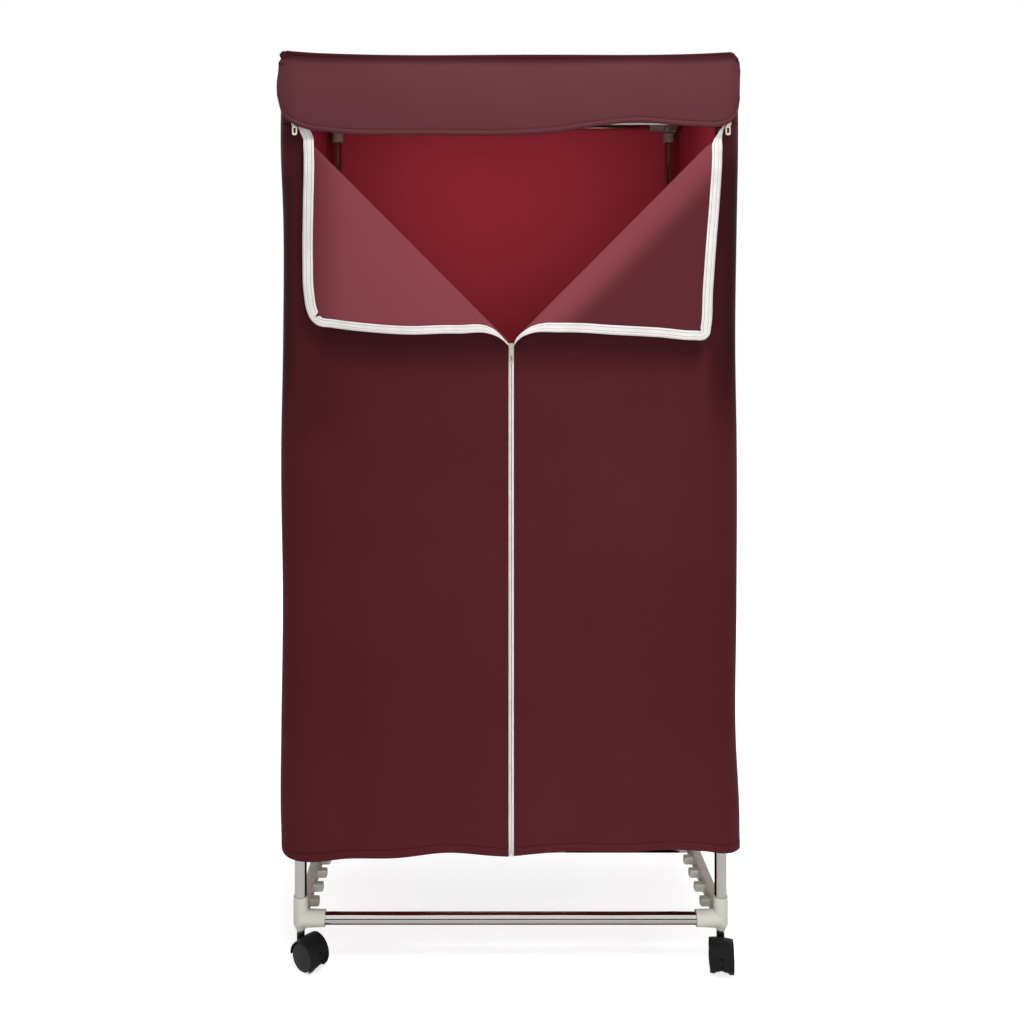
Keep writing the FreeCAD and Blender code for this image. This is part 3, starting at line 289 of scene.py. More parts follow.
clothLook = {
    "weave": (0.314 / 0.0011, 0.6, 1.0), "bump": (0.5, 0.00012), "specular": 0.05, "drift": 3.2, "slub": 260.0,
    "slubShare": 0.14, "stitchPitch": 0.0042, "thread": 0.0006, "stitchRise": 3.0,
}


# woven cloth: warp and weft as two crossed sine bands on the cut's UV, with slow colour drift
def clothMaterial(name, low, high, rows=(), thread=None, rough=0.5, paintedShade=None, by="paintedShade"):
    look = clothLook
    mat, tree, shader = newMaterial(name, Roughness=rough, Specular_IOR_Level=look["specular"])
    colour = mottle(tree, low, high, look["drift"])[0]
    cut, run, above = cutUv(tree)
    weave = mathNode(tree, "ADD", *[bands(tree, cut, axis, *look["weave"]) for axis in ("X", "Y")])
    slub = addNode(tree, "ShaderNodeTexNoise", Vector=cut, Scale=look["slub"], Detail=2.0)
    height = mathNode(tree, "ADD", weave, slub.outputs[0])
    colour = overlay(tree, look["slubShare"], colour, slub.outputs[1], "MULTIPLY")
    if rows:
        mask = stitchMask(tree, above, run, rows, look["stitchPitch"], look["thread"])
        colour = overlay(tree, mask, colour, tone(*thread))
        height = mathNode(tree, "ADD", height, mathNode(tree, "MULTIPLY", mask, look["stitchRise"]))
    # painted shade: a darker colour laid over where a point attribute says, standing in for shadow and unlit sides
    if paintedShade:
        mark = addNode(tree, "ShaderNodeAttribute", attribute_name=by)
        colour = overlay(tree, mark.outputs["Fac"], colour, tone(*paintedShade))
    feed(tree, shader.inputs["Base Color"], colour)
    addBump(tree, shader, height, *look["bump"])
    return mat


tapeLook = {
    "drift": 40.0, "twill": (240.0, 0.4, 2.0), "twillRise": 0.5, "stitchPitch": 0.0034, "thread": 0.00045,
    "ribPitch": 0.0019, "ribShare": 0.35, "ribDark": 0.7, "dark": (168, 160, 150), "bump": (0.6, 0.0003),
}


# twill tape: slanted bands on its UV, rows of stitches, and the coil's ribs in a strip of given middle and half
def tapeMaterial(name, low, high, rows, ribs):
    look = tapeLook
    mat, tree, shader = newMaterial(name, Roughness=0.72, Sheen_Weight=0.15, Specular_IOR_Level=0.25)
    colour = mottle(tree, low, high, look["drift"])[0]
    cut, across, run = cutUv(tree)
    mask = stitchMask(tree, across, run, rows, look["stitchPitch"], look["thread"])
    rib = mathNode(tree, "MULTIPLY", dashes(tree, run, look["ribPitch"], look["ribShare"]),
                   stripe(tree, across, *ribs))
    dark = mathNode(tree, "MAXIMUM", mask, mathNode(tree, "MULTIPLY", rib, look["ribDark"]))
    feed(tree, shader.inputs["Base Color"], overlay(tree, dark, colour, tone(*look["dark"])))
    raised = mathNode(tree, "MULTIPLY", bands(tree, cut, "DIAGONAL", *look["twill"]), look["twillRise"])
    addBump(tree, shader, mathNode(tree, "SUBTRACT", raised, dark), *look["bump"])
    return mat


steelLook = {"grain": (60.0, 2.0), "lighter": 18, "bump": (0.08, 0.0002)}


# drawn steel: a noise pulled long along the tube drives roughness and a faint bump
def steel(name, stretch, colour=(198, 195, 191), rough=(0.06, 0.14)):
    mat, tree, shader = newMaterial(name, Metallic=1.0)
    light = [min(255, c + steelLook["lighter"]) for c in colour]
    shade, noise = mottle(tree, colour, light, *steelLook["grain"], stretch)
    feed(tree, shader.inputs["Base Color"], shade)
    addGloss(tree, shader, noise, *rough)
    addBump(tree, shader, noise, *steelLook["bump"])
    return mat


plasticLook = {"drift": 14.0, "gloss": 0.06, "bump": 0.25}


# moulded plastic: fine spark texture as bump, slow tint drift, slightly uneven gloss
def plastic(name, low, high, rough, grain=900.0, depth=0.00008, specular=0.45):
    mat, tree, shader = newMaterial(name, Specular_IOR_Level=specular)
    colour, drift = mottle(tree, low, high, plasticLook["drift"])
    feed(tree, shader.inputs["Base Color"], colour)
    place = tree.nodes.new("ShaderNodeTexCoord").outputs["Object"]
    spark = addNode(tree, "ShaderNodeTexNoise", Vector=place, Scale=grain, Detail=2.0)
    addGloss(tree, shader, drift, rough - plasticLook["gloss"], rough + plasticLook["gloss"])
    addBump(tree, shader, spark.outputs[0], plasticLook["bump"], depth)
    return mat


hemRow, flapHem = 0.0125, 0.0076  # stitch lines above the hem of the cover and of the flap
# outer cloth: its darker paintedShade tone is painted shade, laid on the doors by their shade attribute
outerCloth = clothMaterial("maroonCloth", (81, 31, 37), (86, 34, 40), (hemRow,), (50, 16, 21),
                           paintedShade=(36, 9, 13), by="shade")
# lining: the inside of the cloth, lighter than the outside, made deeper and brighter than the folded lining as painted
# light bouncing inside the cover
liningAndPaintedBounce = clothMaterial("maroonLiningAndPaintedBounce", (146, 40, 52), (154, 44, 56), (hemRow,), (90, 26, 34), 0.66)
# folded lining: the inside of the cloth, lighter than the outside; its paintedShade tone is painted shade
foldCloth = clothMaterial("foldedLining", (135, 66, 73), (141, 70, 78), paintedShade=(93, 41, 47))
# flap: the cover's cloth made lighter and greyer, a painted sheen and light from above on its outward lean
flapClothPaintedSheen = clothMaterial("flapClothPaintedSheen", (99, 54, 60), (104, 58, 64), (flapHem,), (74, 32, 38),
                          paintedShade=(60, 26, 31))
# piping: the cover's cloth darkened, painted shade for its unlit top
pipingClothPaintedShade = clothMaterial("pipingClothPaintedShade", (66, 27, 32), (74, 30, 36), rough=0.6)
creamTape = tapeMaterial("creamTape", (233, 228, 226), (246, 242, 239), (0.0052, 0.0118), (0.0016, 0.0011))
chainTape = tapeMaterial("chainTape", (233, 228, 226), (246, 242, 239), (0.004,), (0.0145, 0.0006))
coilDark = plastic("coilTeeth", (196, 190, 182), (212, 207, 200), 0.5, 500.0, 0.0003)
steelUp = steel("drawnSteelUpright", (1, 1, 0.02))
steelAcross = steel("drawnSteelAcross", (0.02, 1, 1))
zinc = steel("zincThread", (1, 1, 6), (150, 150, 148), (0.25, 0.4))
nickel = steel("nickelPlate", (1, 1, 1), (214, 205, 190), (0.22, 0.36))
fins = steel("bareFins", (1, 1, 1), (176, 178, 180), (0.3, 0.45))
ivory = plastic("ivoryMoulding", (204, 203, 192), (214, 213, 202), 0.4, specular=0.3)
beige = plastic("beigeMoulding", (222, 216, 204), (231, 226, 214), 0.42)
# top mouldings: the ivory of the other corners darkened, painted shade for where they sit high in the cover's shaded
# inside
ivoryPaintedShade = plastic("topMouldingPaintedShade", (112, 92, 88), (122, 100, 96), 0.5, specular=0.2)
castorBlack = plastic("castorMoulding", (18, 18, 19), (24, 24, 25), 0.46, 700.0, 0.0001, 0.15)
wheelBlack = plastic("wheelMoulding", (48, 48, 49), (56, 56, 57), 0.55, 420.0, 0.00015, 0.15)
shellWhite = plastic("heaterMoulding", (208, 207, 200), (218, 217, 211), 0.45, 520.0, 0.0002)
innerGrey = plastic("darkMoulding", (58, 60, 62), (72, 74, 76), 0.5)
canPaint = plastic("canPaint", (92, 95, 100), (108, 111, 116), 0.32, 1200.0)
keyBlack = plastic("keyMoulding", (34, 34, 36), (44, 44, 46), 0.34)
markWhite = plastic("markPaint", (232, 231, 226), (242, 241, 237), 0.5)
print("materials made")


# what of the frame stays: each node gets its finish
keptNodes = {
    "lower_post_": steelUp, "upper_posts": steelUp, "bottom_front_tube": steelAcross, "bottom_rear_tube": steelAcross,
    "top_tubes": steelAcross, "hanging_rods": steelAcross, "heater_support_rods": steelAcross, "bottom_corner_": ivory,
    "top_corners": ivoryPaintedShade, "post_couplers": ivory, "bottom_rail_": beige, "top_rails": ivoryPaintedShade,
    "castor_hood_": castorBlack, "castor_wheels_": wheelBlack, "castor_stems": zinc, "centre_slider": nickel,
    "centre_pull": nickel, "header_slider_": nickel, "header_pull_": nickel, "heater_base": shellWhite,
    "heater_housing": shellWhite, "outlet_grille": shellWhite, "fan_motor": canPaint, "fan_duct": innerGrey,
    "heating_element": fins, "timer_knob": keyBlack, "power_rocker": keyBlack, "cord_gland": innerGrey,
    "timer": innerGrey, "fan": innerGrey,
}
for start, mat in keptNodes.items():
    for name, node in nodes.items():
        if name == start or (start.endswith("_") and name.startswith(start)):
            node.data.materials.clear()
            node.data.materials.append(mat)

# white pointer on the knob: faces of its groove floor, one millimetre behind the front
knob = nodes["timer_knob"].data
knobLow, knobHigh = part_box("timer_knob")
knob.materials.append(markWhite)
middles = np.zeros(len(knob.polygons) * 3)
knob.polygons.foreach_get("center", middles)
middles = middles.reshape(-1, 3)
inGroove = (np.abs(middles[:, 1] - knobLow.y - 0.001) < 1e-4) & (middles[:, 2] > (knobLow.z + knobHigh.z) / 2)
knob.polygons.foreach_set("material_index", inGroove.astype(np.int32))
print("frame finishes set")


# shared lines of the cover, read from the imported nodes
pipingLow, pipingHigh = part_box("top_piping")
pipe = 0.0025
sideX, frontY, backY = pipingHigh.x - pipe, pipingLow.y + pipe, pipingHigh.y - pipe
pipingZ = pipingHigh.z - pipe
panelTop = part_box("cover_back")[1].z
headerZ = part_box("cover_header")[0].z
sliderLow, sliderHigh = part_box("centre_slider")
zipZ = (sliderLow.z + sliderHigh.z) / 2
corner, cornerWide, seamDepth, clothThick, doorEdge = 0.014, 0.05, 0.028, 0.0009, 0.00415
tapeY = frontY + 0.00085
sideSign = {"left": -1, "right": 1}

hemLine = {
    "left": ((-0.365, -0.352, -0.337, -0.318, -0.281, -0.243, -0.186, -0.092, -0.054, -0.017, 0.0),
             (0.19, 0.1795, 0.1758, 0.175, 0.1773, 0.1815, 0.1862, 0.191, 0.1885, 0.184, 0.183)),
    "right": ((0.0, 0.02, 0.04, 0.096, 0.153, 0.21, 0.266, 0.304, 0.323, 0.342, 0.365),
              (0.1835, 0.1865, 0.1895, 0.193, 0.1947, 0.196, 0.1932, 0.1912, 0.188, 0.186, 0.187)),
}
cornerLine = {  # how far each front corner leans out, by height
    "z": (0.17, 0.24, 0.37, 0.56, 0.81, 1.0, 1.19, 1.31, 1.45),
    "left": (0.0055, 0.0078, 0.007, 0.0045, 0.0072, 0.004, 0.0038, 0.008, 0.005),
    "right": (0.0065, 0.006, 0.0, 0.0015, 0.002, -0.0005, 0.002, 0.004, 0.003),
}


# lean of one front corner at a height
def leanAt(side, z):
    return through(cornerLine["z"], cornerLine[side], z)


# lean of both corners along a run from left to right, each dying away over a length
def leanBoth(z, run, over):
    return leanAt("right", z) * ease(1 - (run[-1] - run) / over) - leanAt("left", z) * ease(1 - run / over)


sagLook = {
    "start": 0.3455, "run": 0.014, "fall": 0.0145, "depth": 0.03, "wall": (1.36, 0.07), "base": 0.0003, "dip": 0.0052,
}


# fall of the right front corner: fall * (1 - root of 1 - u squared) along the front, times a bell behind it
def cornerFall(x, y):
    look = sagLook
    u = np.clip((x - look["start"]) / look["run"], 0, 1)
    return look["fall"] * (1 - np.sqrt(1 - u**2)) * bell(y, frontY, look["depth"])


# the same on the cloth below the seam, growing up to it by a smooth step
def wallFall(x, y, z):
    return cornerFall(x, y) * stepUp(z, *sagLook["wall"])


# drop of the top seam: flat in the middle, rising to the ends by the fourth power, plus the corner's fall
def seamDrop(x, y):
    return sagLook["base"] + sagLook["dip"] * np.maximum(1 - (x / sideX) ** 4, 0) + cornerFall(x, y)


hemLook = {
    "steps": (0.0, 0.0015, 0.006, 0.0108, 0.0125, 0.0142, 0.018, 0.024, 0.032), "out": 0.0009, "edge": (0.0135, 0.003),
    "in": 0.0011, "thread": 0.0011, "low": 0.18,
}


# heights of one column: fixed steps above the hem, then even steps up to the top
def columnHeights(hem, top, count, steps=hemLook["steps"]):
    low = hem[None, :] + np.array(steps)[:, None]
    t = np.linspace(0, 1, count + 1)[1:, None]
    return np.vstack([low, low[-1:] + (top[None, :] - low[-1:]) * t])


# sewn hem: the doubled edge stands out and the stitch line draws in, by distance above the hem
def hemProfile(above):
    look = hemLook
    return look["out"] * (1 - stepUp(above, *look["edge"])) - look["in"] * bell(above, hemRow, look["thread"])


# share of the slack at a height: none at the slider, all of it at the hem
def slackAt(z):
    return np.clip((zipZ - z) / (zipZ - hemLook["low"]), 0, 1)


foldLook = {
    "rollRows": 14, "rows": 40, "puff": 0.0055, "puffRun": 0.16, "rumple": 0.7, "tight": 0.0016, "ends": (0.1, 0.07),
    "reach": -0.2562, "endsIn": 0.0022, "down": 0.9, "wide": 0.46,
    "edge": {  # free edge from the slider round the corner and up to the header: x and z
        "left": ((-0.004, -0.014, -0.024, -0.0385, -0.08, -0.101, -0.1574, -0.23, -0.2806,
                  -0.302, -0.312, -0.3175, -0.323, -0.3248, -0.324, -0.3232, -0.325),
                 (0.9872, 0.9965, 1.0027, 1.0073, 1.007, 1.007, 1.0054, 1.01, 1.0162,
                  1.0198, 1.028, 1.04, 1.07, 1.12, 1.21, 1.28, 1.3105)),
        "right": ((0.0036, 0.0078, 0.0145, 0.0275, 0.075, 0.101, 0.1593, 0.23, 0.285,
                   0.3, 0.307, 0.3098, 0.3128, 0.3168, 0.323, 0.3276, 0.329),
                  (0.9872, 0.993, 1.0, 1.0062, 1.009, 1.0088, 1.0052, 1.0014, 0.9968,
                   0.9974, 1.0032, 1.016, 1.07, 1.13, 1.21, 1.28, 1.3105)),
    },
    "back": (1, 0.6, 0.2) + 12 * (0,) + (0.2, 0.8),  # how far its points are drawn back to the cover
    "paintedShade": {"left": 0.75, "right": 1.0}, "paintedShadeLeft": (-0.326, 0.075), "paintedShadeRight": (0.006, 0.05),
}


# swell of the roll along the fold: full in the middle and eased to nothing at both ends
def rollSwell(t, pivot):
    first, last = foldLook["ends"]
    return (frontY - pivot[1] - foldLook["tight"]) * ease(t / first) * ease((1 - t) / last)


doorLook = {
    "columns": 120, "sideColumns": 18, "rows": 110, "slack": 0.007, "top": 1.313,
    "drape": 0.0028, "drapeRun": 0.155, "drapePhase": 0.6, "drapeEnds": 0.05, "calm": (0.03, 0.06, 0.05),
    "shoulder": ((0.325, 0.328, 0.332, 0.338, 0.344, 0.36), (1.313, 1.324, 1.3305, 1.336, 1.3375, 1.3375)),
    "seed": {"left": 11, "right": 23}, "setBack": {"left": 1.0, "right": 0.4},
    "waves": ((0.46, 0.0011, 62), (0.31, 0.0008, 118), (0.19, 0.0006, 20), (0.11, 0.00028, 82), (0.07, 0.00016, 40)),
    "nip": 0.0013, "nipWide": 0.01, "nipSpan": (0.74, 0.91), "nipPitch": 0.021,
    "held": (1.25, 0.04), "heldRun": 0.03, "leanShare": 1.02, "leanEnd": (1.345, 0.03, 0.6),
}
shadeLook = {
    "strip": (0.312, 0.045), "under": 0.46, "edge": (0.978, 0.055), "inside": (0.29, 0.02), "low": (0.8, 0.17),
    "left": {"beside": 0.72, "top": (1.305, 0.06), "under": 0.26, "across": (-0.3, 0.11), "low": (0.8, 0.08)},
    "right": {"beside": (0.46, 0.4), "top": (1.33, 0.07), "across": (0.3, 0.02)},
}


# painted shade below and beside the folded corner, for its shadow on the door: products of smooth steps in x and z, of
# which the stronger counts
def doorShade(side, x, z):
    look, own = shadeLook, shadeLook[side]
    strip = stepUp(np.abs(x), *look["strip"])
    under = look["under"] * (1 - stepDown(z, *look["edge"])) * (1 - stepUp(np.abs(x), *look["inside"]))
    if side == "left":
        beside = own["beside"] * strip**2 * stepDown(z, *own["top"])
        under = np.maximum(under, own["under"] * (1 - stepUp(x, *own["across"])) * stepUp(z, *own["low"]))
    else:
        beside = (own["beside"][0] + own["beside"][1] * strip) * stepUp(np.abs(x), *own["across"])
        beside = beside * stepDown(z, *own["top"])
    return np.maximum(under, beside * stepUp(z, *look["low"]))


# door sheet: columns from the zip, straight and then round the corner, each from the hem to the fold line; slack and
# drapes push it out along its normal, more towards the hem
def makeDoor(side):
    look, s = doorLook, sideSign[side]
    joint = next(j for j in frame["joints"] if j["name"] == "fold_turn_" + side)
    pivot, axis = joint["pos_m"], joint["axis"]
    slope = axis[2] / axis[0]
    start = abs(pivot[0] + (look["top"] - pivot[2]) / slope) - doorEdge
    flat = sideX - cornerWide - doorEdge
    w = np.r_[np.linspace(0, start, look["columns"]),
                        np.linspace(start, flat + cornerWide * pi / 2, look["sideColumns"] + 1)[1:]]
    theta = np.clip((w - flat) / cornerWide, 0, pi / 2)
    x = s * (doorEdge + np.minimum(w, flat) + cornerWide * np.sin(theta))
    y = frontY + seamDepth * (1 - np.cos(theta))
    swell = rollSwell(np.clip(w / start, 0, 1), pivot)
    line = pivot[2] + (x - pivot[0]) * slope - look["setBack"][side] * swell * hypot(1, slope)
    top = np.where(w <= start + 1e-9, line, through(*look["shoulder"], np.abs(x)))
    hem = through(*hemLine[side], x)
    z = columnHeights(hem, top, look["rows"])
    above, grow, share = z - hem, slackAt(z), np.clip(w / flat, 0, 1)
    out = look["slack"] * grow**1.2 * np.sin(pi * share) ** 2
    drape = look["drape"] * grow**2 * np.sin(tau * w / look["drapeRun"] + look["drapePhase"])
    out = out + drape * ease(w / look["drapeEnds"]) * stepDown(w, flat, look["drapeEnds"])
    near, far, below = look["calm"]
    still = ease(w / near) * stepDown(w, flat + near, far) * stepDown(z, top, below)
    out = out + rumple(x, z, look["waves"], look["seed"][side]) * still + hemProfile(above)
    low, high = look["nipSpan"]
    nip = bell(w, 0, look["nipWide"]) * ((z > low) & (z < high)) * (s < 0)  # small puckers beside the zip
    out = out + look["nip"] * nip * np.sin(tau * z / look["nipPitch"])
    held = stepUp(z, *look["held"]) * (s < 0)  # near the fold's upper end the lean starts beyond the fold
    reach = ease(share * look["leanShare"]) * (1 - held) + stepUp(w, start, look["heldRun"]) * held
    end, run, rest = look["leanEnd"]
    lean = leanAt(side, z) * reach * ease((end - z) / run + rest)
    grid = stacked(x + s * (lean + out * np.sin(theta)), y - out * np.cos(theta), z)
    door = putSurface("doorSheet_" + side, [(grid, stacked(w, above))], "frame", [outerCloth, liningAndPaintedBounce], clothThick,
                      flip=s < 0)
    # painted shade of the folded corner, laid into the door's colour in every pose
    markPoints(door, "shade", np.broadcast_to(doorShade(side, x, z), z.shape))
    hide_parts("door_panel_" + side)
    return x[: look["columns"]], line[: look["columns"]], pivot, axis


# free edge of a folded corner: the drawn line at the fold's front plane, drawn back to the cover at its ends
def foldEdge(side, t):
    look = foldLook
    x, z = look["edge"][side]
    y = look["reach"] + (frontY - look["endsIn"] - look["reach"]) * np.array(look["back"])
    return along(stacked(x, y, z), t)


# folded corner: a half roll about the fold line, r sin and r (1 - cos), then a ruled sheet from the roll to the free
# edge with a sine puff between them
def makeFold(side, x, line, pivot, axis):
    look, s = foldLook, sideSign[side]
    t = np.linspace(0, 1, len(x))
    away = np.array([-s * abs(axis[2]), abs(axis[0])])  # in the sheet's plane, from the fold towards the cut-off corner
    radius = look["tight"] + rollSwell(t, pivot)
    phi = np.linspace(0, pi, look["rollRows"] + 1)[:, None]
    roll = stacked(x + away[0] * radius * np.sin(phi), frontY - radius * (1 - np.cos(phi)),
                   line + away[1] * radius * np.sin(phi))
    drawn = np.array(look["edge"][side]).T
    cornerAt = drawn[np.argmax(s * drawn[:, 0] - drawn[:, 1] * look["down"])]
    chord = np.array([x[-1] - x[0], line[-1] - line[0]])
    onFold = float(np.dot(cornerAt - np.array([x[0], line[0]]), chord / np.dot(chord, chord)))
    fine = np.linspace(0, 1, 400)
    edge = foldEdge(side, fine)
    onEdge = fine[np.argmin(np.hypot(edge[:, 0] - cornerAt[0], edge[:, 2] - cornerAt[1]))]
    edge = foldEdge(side, np.interp(t, [0, onFold, 1], [0, onEdge, 1]))
    k = np.linspace(0, 1, look["rows"] + 1)[1:, None]
    front = roll[-1]
    sheet = front[None] * (1 - k[..., None]) + edge[None] * k[..., None]
    reach = np.linalg.norm(edge - front, axis=1)
    puff = look["puff"] * np.sin(pi * k**0.8) * ease(reach / look["puffRun"])
    uneven = rumple(sheet[..., 0], sheet[..., 2], doorLook["waves"][:3], 5 + s)
    sheet[..., 1] -= np.maximum(puff + uneven * np.sin(pi * k) * look["rumple"], 0)
    grid = np.r_[roll, sheet]
    beyond = np.r_[0 * phi * radius, k * reach]
    uv = stacked(t * look["wide"], np.r_[phi * radius, pi * radius + k * reach])
    fold = putSurface("foldedCorner_" + side, [(grid, uv)], None, [outerCloth, foldCloth], clothThick, flip=s < 0)
    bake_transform(fold)
    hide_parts("door_fold_" + side)
    # painted shade: the folded lining darker away from the roll, towards its outer corner, where it turns from the
    # light
    shade = 1 - stepUp(grid[..., 0], *look["paintedShadeLeft"]) if s < 0 else stepUp(beyond, *look["paintedShadeRight"])
    markPoints(fold, "paintedShade", look["paintedShade"][side] * shade)
    return grid[look["rollRows"]:]


bandLook = {
    "rows": 220, "columns": 9, "width": 0.0152, "thick": 0.0009, "lift": 0.0011, "bead": 0.0009, "beadAt": (0.1, 0.07),
    "tail": ((0.3303, 0.009, 1.323), (0.3342, 0.008, 1.331)), "tailEnd": (0.3375, 0.005), "tailRows": 24,
    "mitre": {"left": (0.3065, 1.032), "right": (0.2955, 1.0104)}, "flatter": {"left": 0.2, "right": 0.1},
    "close": {"left": -0.004, "right": 0.014}, "closeRun": 0.034, "narrow": 0.75, "level": (0.03, 0.02),
    "middle": (0.16, 1.16), "near": (0.04, 0.035), "overhang": 0.06, "cloth": 0.004, "least": 0.05, "tilt": 0.0012,
    "inner": {  # run along the outer edge, and the inner edge there, near the slider
        "left": ((0.0, -0.0043, 0.99), (0.0129, -0.0122, 0.9983), (0.0242, -0.0228, 1.0092),
                 (0.0394, -0.0352, 1.0166), (0.0809, -0.08, 1.0212)),
        "right": ((0.0, 0.0043, 0.99), (0.0069, 0.0064, 0.996), (0.0161, 0.0125, 1.004),
                  (0.0306, 0.0262, 1.0145), (0.0782, 0.075, 1.0238)),
    },
}


# zip tape on a folded corner: lines from the free edge inward, square to it, with a bead for the coil; led on up to
# the header slider and in to the centre slider, it lies before the mean of the cloth near it
def makeBand(side, cloth):
    look, s = bandLook, sideSign[side]
    edge = foldEdge(side, np.linspace(0, 1, look["rows"]))
    low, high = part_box("header_slider_" + side)
    tail = look["tail"] + (look["tailEnd"] + ((low.z + high.z) / 2,),)
    tail = np.array([edge[-1]] + [(s * tx, frontY - ty, tz) for tx, ty, tz in tail])
    path = np.vstack([edge, along(tail, np.linspace(0, 1, look["tailRows"]))[1:]])
    step = np.gradient(path, axis=0)
    step /= np.linalg.norm(step, axis=1)[:, None]
    run = runOf(path)
    after = run - run[len(edge) - 1]
    inward = stacked(s * step[:, 2], 0, -s * step[:, 0])
    aim = np.array([s * look["middle"][0], 0, look["middle"][1]]) - path
    inward = inward * np.sign(np.sum(inward * aim, axis=1))[:, None]
    inward = inward / np.maximum(np.linalg.norm(inward, axis=1)[:, None], 1e-6)
    closed = ease((after + look["close"][side]) / look["closeRun"])  # drawn together at the header
    wide = look["width"] * (1 - look["narrow"] * closed) * (1 - look["flatter"][side] * step[:, 0] ** 2)
    inner = path + inward * wide[:, None]
    mx, mz = look["mitre"][side]
    beyond, under = s * path[:, 0] >= mx, path[:, 2] <= mz
    both = beyond & under
    inner[:, 0] = np.where(both, s * mx, np.where(under, s * np.minimum(s * inner[:, 0], mx), inner[:, 0]))
    inner[:, 2] = np.where(both, mz, np.where(beyond, np.maximum(inner[:, 2], mz), inner[:, 2]))
    near = (1 - stepUp(run, *look["near"]))[:, None]
    drawn = np.array(look["inner"][side])
    inner[:, [0, 2]] = inner[:, [0, 2]] * (1 - near) + through(drawn[:, 0], drawn[:, 1:], run) * near
    v = np.linspace(0, 1, look["columns"])[None, :]
    hang = look["overhang"]
    grid = path[:, None, :] + (inner - path)[:, None, :] * ((v - hang) / (1 - hang))[..., None]
    shape = grid.shape[:2]
    apartX = grid[..., 0].reshape(-1, 1) - cloth[..., 0].reshape(1, -1)
    apartZ = grid[..., 2].reshape(-1, 1) - cloth[..., 2].reshape(1, -1)
    weight = np.exp(-(apartX**2 + apartZ**2) / look["cloth"] ** 2) + 1e-12
    front = ((weight @ cloth[..., 1].reshape(-1)) / weight.sum(axis=1)).reshape(shape)
    front = np.where(weight.max(axis=1).reshape(shape) > look["least"], front, grid[..., 1])
    bead = look["bead"] * bell(v, *look["beadAt"])
    grid[..., 1] = np.minimum(grid[..., 1], front) - look["lift"] - bead - look["tilt"] * v * (1 - near)
    before, over = look["level"]
    level = ease((after + before) / over)[:, None]
    grid[..., 1] = grid[..., 1] * (1 - level) + grid[..., 1].min(axis=1, keepdims=True) * level
    uv = stacked(v * look["width"], run[:, None])
    band = putSurface("zipBand_" + side, [(grid, uv)], None, [creamTape], look["thick"], flip=s > 0, even=False)
    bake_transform(band)
    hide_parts("fold_zip_band_" + side)


for side in ("left", "right"):
    makeBand(side, makeFold(side, *makeDoor(side)))
print("doors and folded corners made")


wallLook = {
    "sideColumns": 60, "turns": 8, "backColumns": 90, "rows": 110, "slack": 0.007, "seed": 37, "leanRun": 0.22,
    "drape": 0.003, "drapeRun": 0.17, "drapePhase": 0.4, "drawIn": 0.0035, "drawLow": 0.19, "calm": 0.04,
    "pull": 0.0008, "pullFade": 0.16, "pullSlant": 0.35, "pullRun": 0.062,
    "hem": (0.191, 0.183, 0.1815, 0.186, 0.189, 0.1865, 0.1845, 0.1875, 0.195),
    "waves": ((0.52, 0.0016, 70), (0.33, 0.0011, 105), (0.21, 0.0008, 24), (0.12, 0.00032, 86), (0.08, 0.0002, 50)),
}


# walls: a rounded rectangle from the left front seam round the back to the right one, base + corner * normal; each
# column runs from the hem to the top seam, pushed out along the normal
def makeWalls():
    look = wallLook
    inX, y0, y1 = sideX - corner, frontY + seamDepth, backY - corner
    length = y1 - y0
    q = np.linspace(0, 1, look["sideColumns"] + 1)
    p = np.linspace(-1, 1, look["backColumns"] + 1)[1:]
    turn = np.linspace(0, pi / 2, look["turns"] + 1)[1:]
    angle = np.r_[pi + 0 * q, pi - turn, pi / 2 + 0 * p, pi / 2 - turn, 0 * q[1:]]
    nx, ny = np.cos(angle), np.sin(angle)
    x = np.r_[0 * q - inX, 0 * turn - inX, inX * p, 0 * turn + inX, 0 * q[1:] + inX] + corner * nx
    y = np.r_[y0 + length * q, 0 * turn + y1, 0 * p + y1, 0 * turn + y1, y1 - length * q[1:]] + corner * ny
    run = runOf(stacked(x, y))
    total = run[-1]
    bend = corner * pi / 2
    share = np.zeros(len(run))
    for a, b in ((0, length), (length + bend, total - length - bend), (total - length, total)):
        share = np.where((run >= a) & (run <= b), np.sin(pi * (run - a) / (b - a)) ** 2, share)
    hemAt = (0, 0.15, length, 0.62, 0.85, 1.05, total - length, total - 0.15, total)
    hem = through(hemAt, look["hem"], run)
    z = columnHeights(hem, np.full(len(x), panelTop), look["rows"])
    grow, below = slackAt(z), panelTop - z
    out = look["slack"] * grow**1.2 * share
    wave = np.sin(tau * run / look["drapeRun"] + look["drapePhase"])
    out = out + look["drape"] * grow**2 * wave * np.sqrt(share)
    hang = np.sin(pi * np.clip((z - look["drawLow"]) / (panelTop - look["drawLow"]), 0, 1))
    out = out - look["drawIn"] * share * hang  # drawn in between the top and the hem
    slant = np.sin(tau * (run + look["pullSlant"] * below) / look["pullRun"])
    pull = np.exp(-(below / look["pullFade"])) * slant * share**0.5
    still = share**0.6 * ease(below / look["calm"])
    out = out + look["pull"] * pull + rumple(run, z, look["waves"], look["seed"]) * still + hemProfile(z - hem)
    grid = stacked(x + nx * out + leanBoth(z, run, look["leanRun"]), y + ny * out, z - wallFall(x, y, z))
    uv = stacked(run, z - hem)
    walls = putSurface("coverWalls", [(grid, uv)], "frame", [outerCloth, liningAndPaintedBounce], clothThick, flip=True)
    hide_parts("cover_left_side", "cover_right_side", "cover_back")


headerLook = {
    "columns": 80, "turns": 10, "rows": 24, "leanRun": 0.05, "calm": (0.06, 0.03), "seed": 51,
    "waves": ((0.16, 0.0007, 10), (0.09, 0.0004, 70)),
}


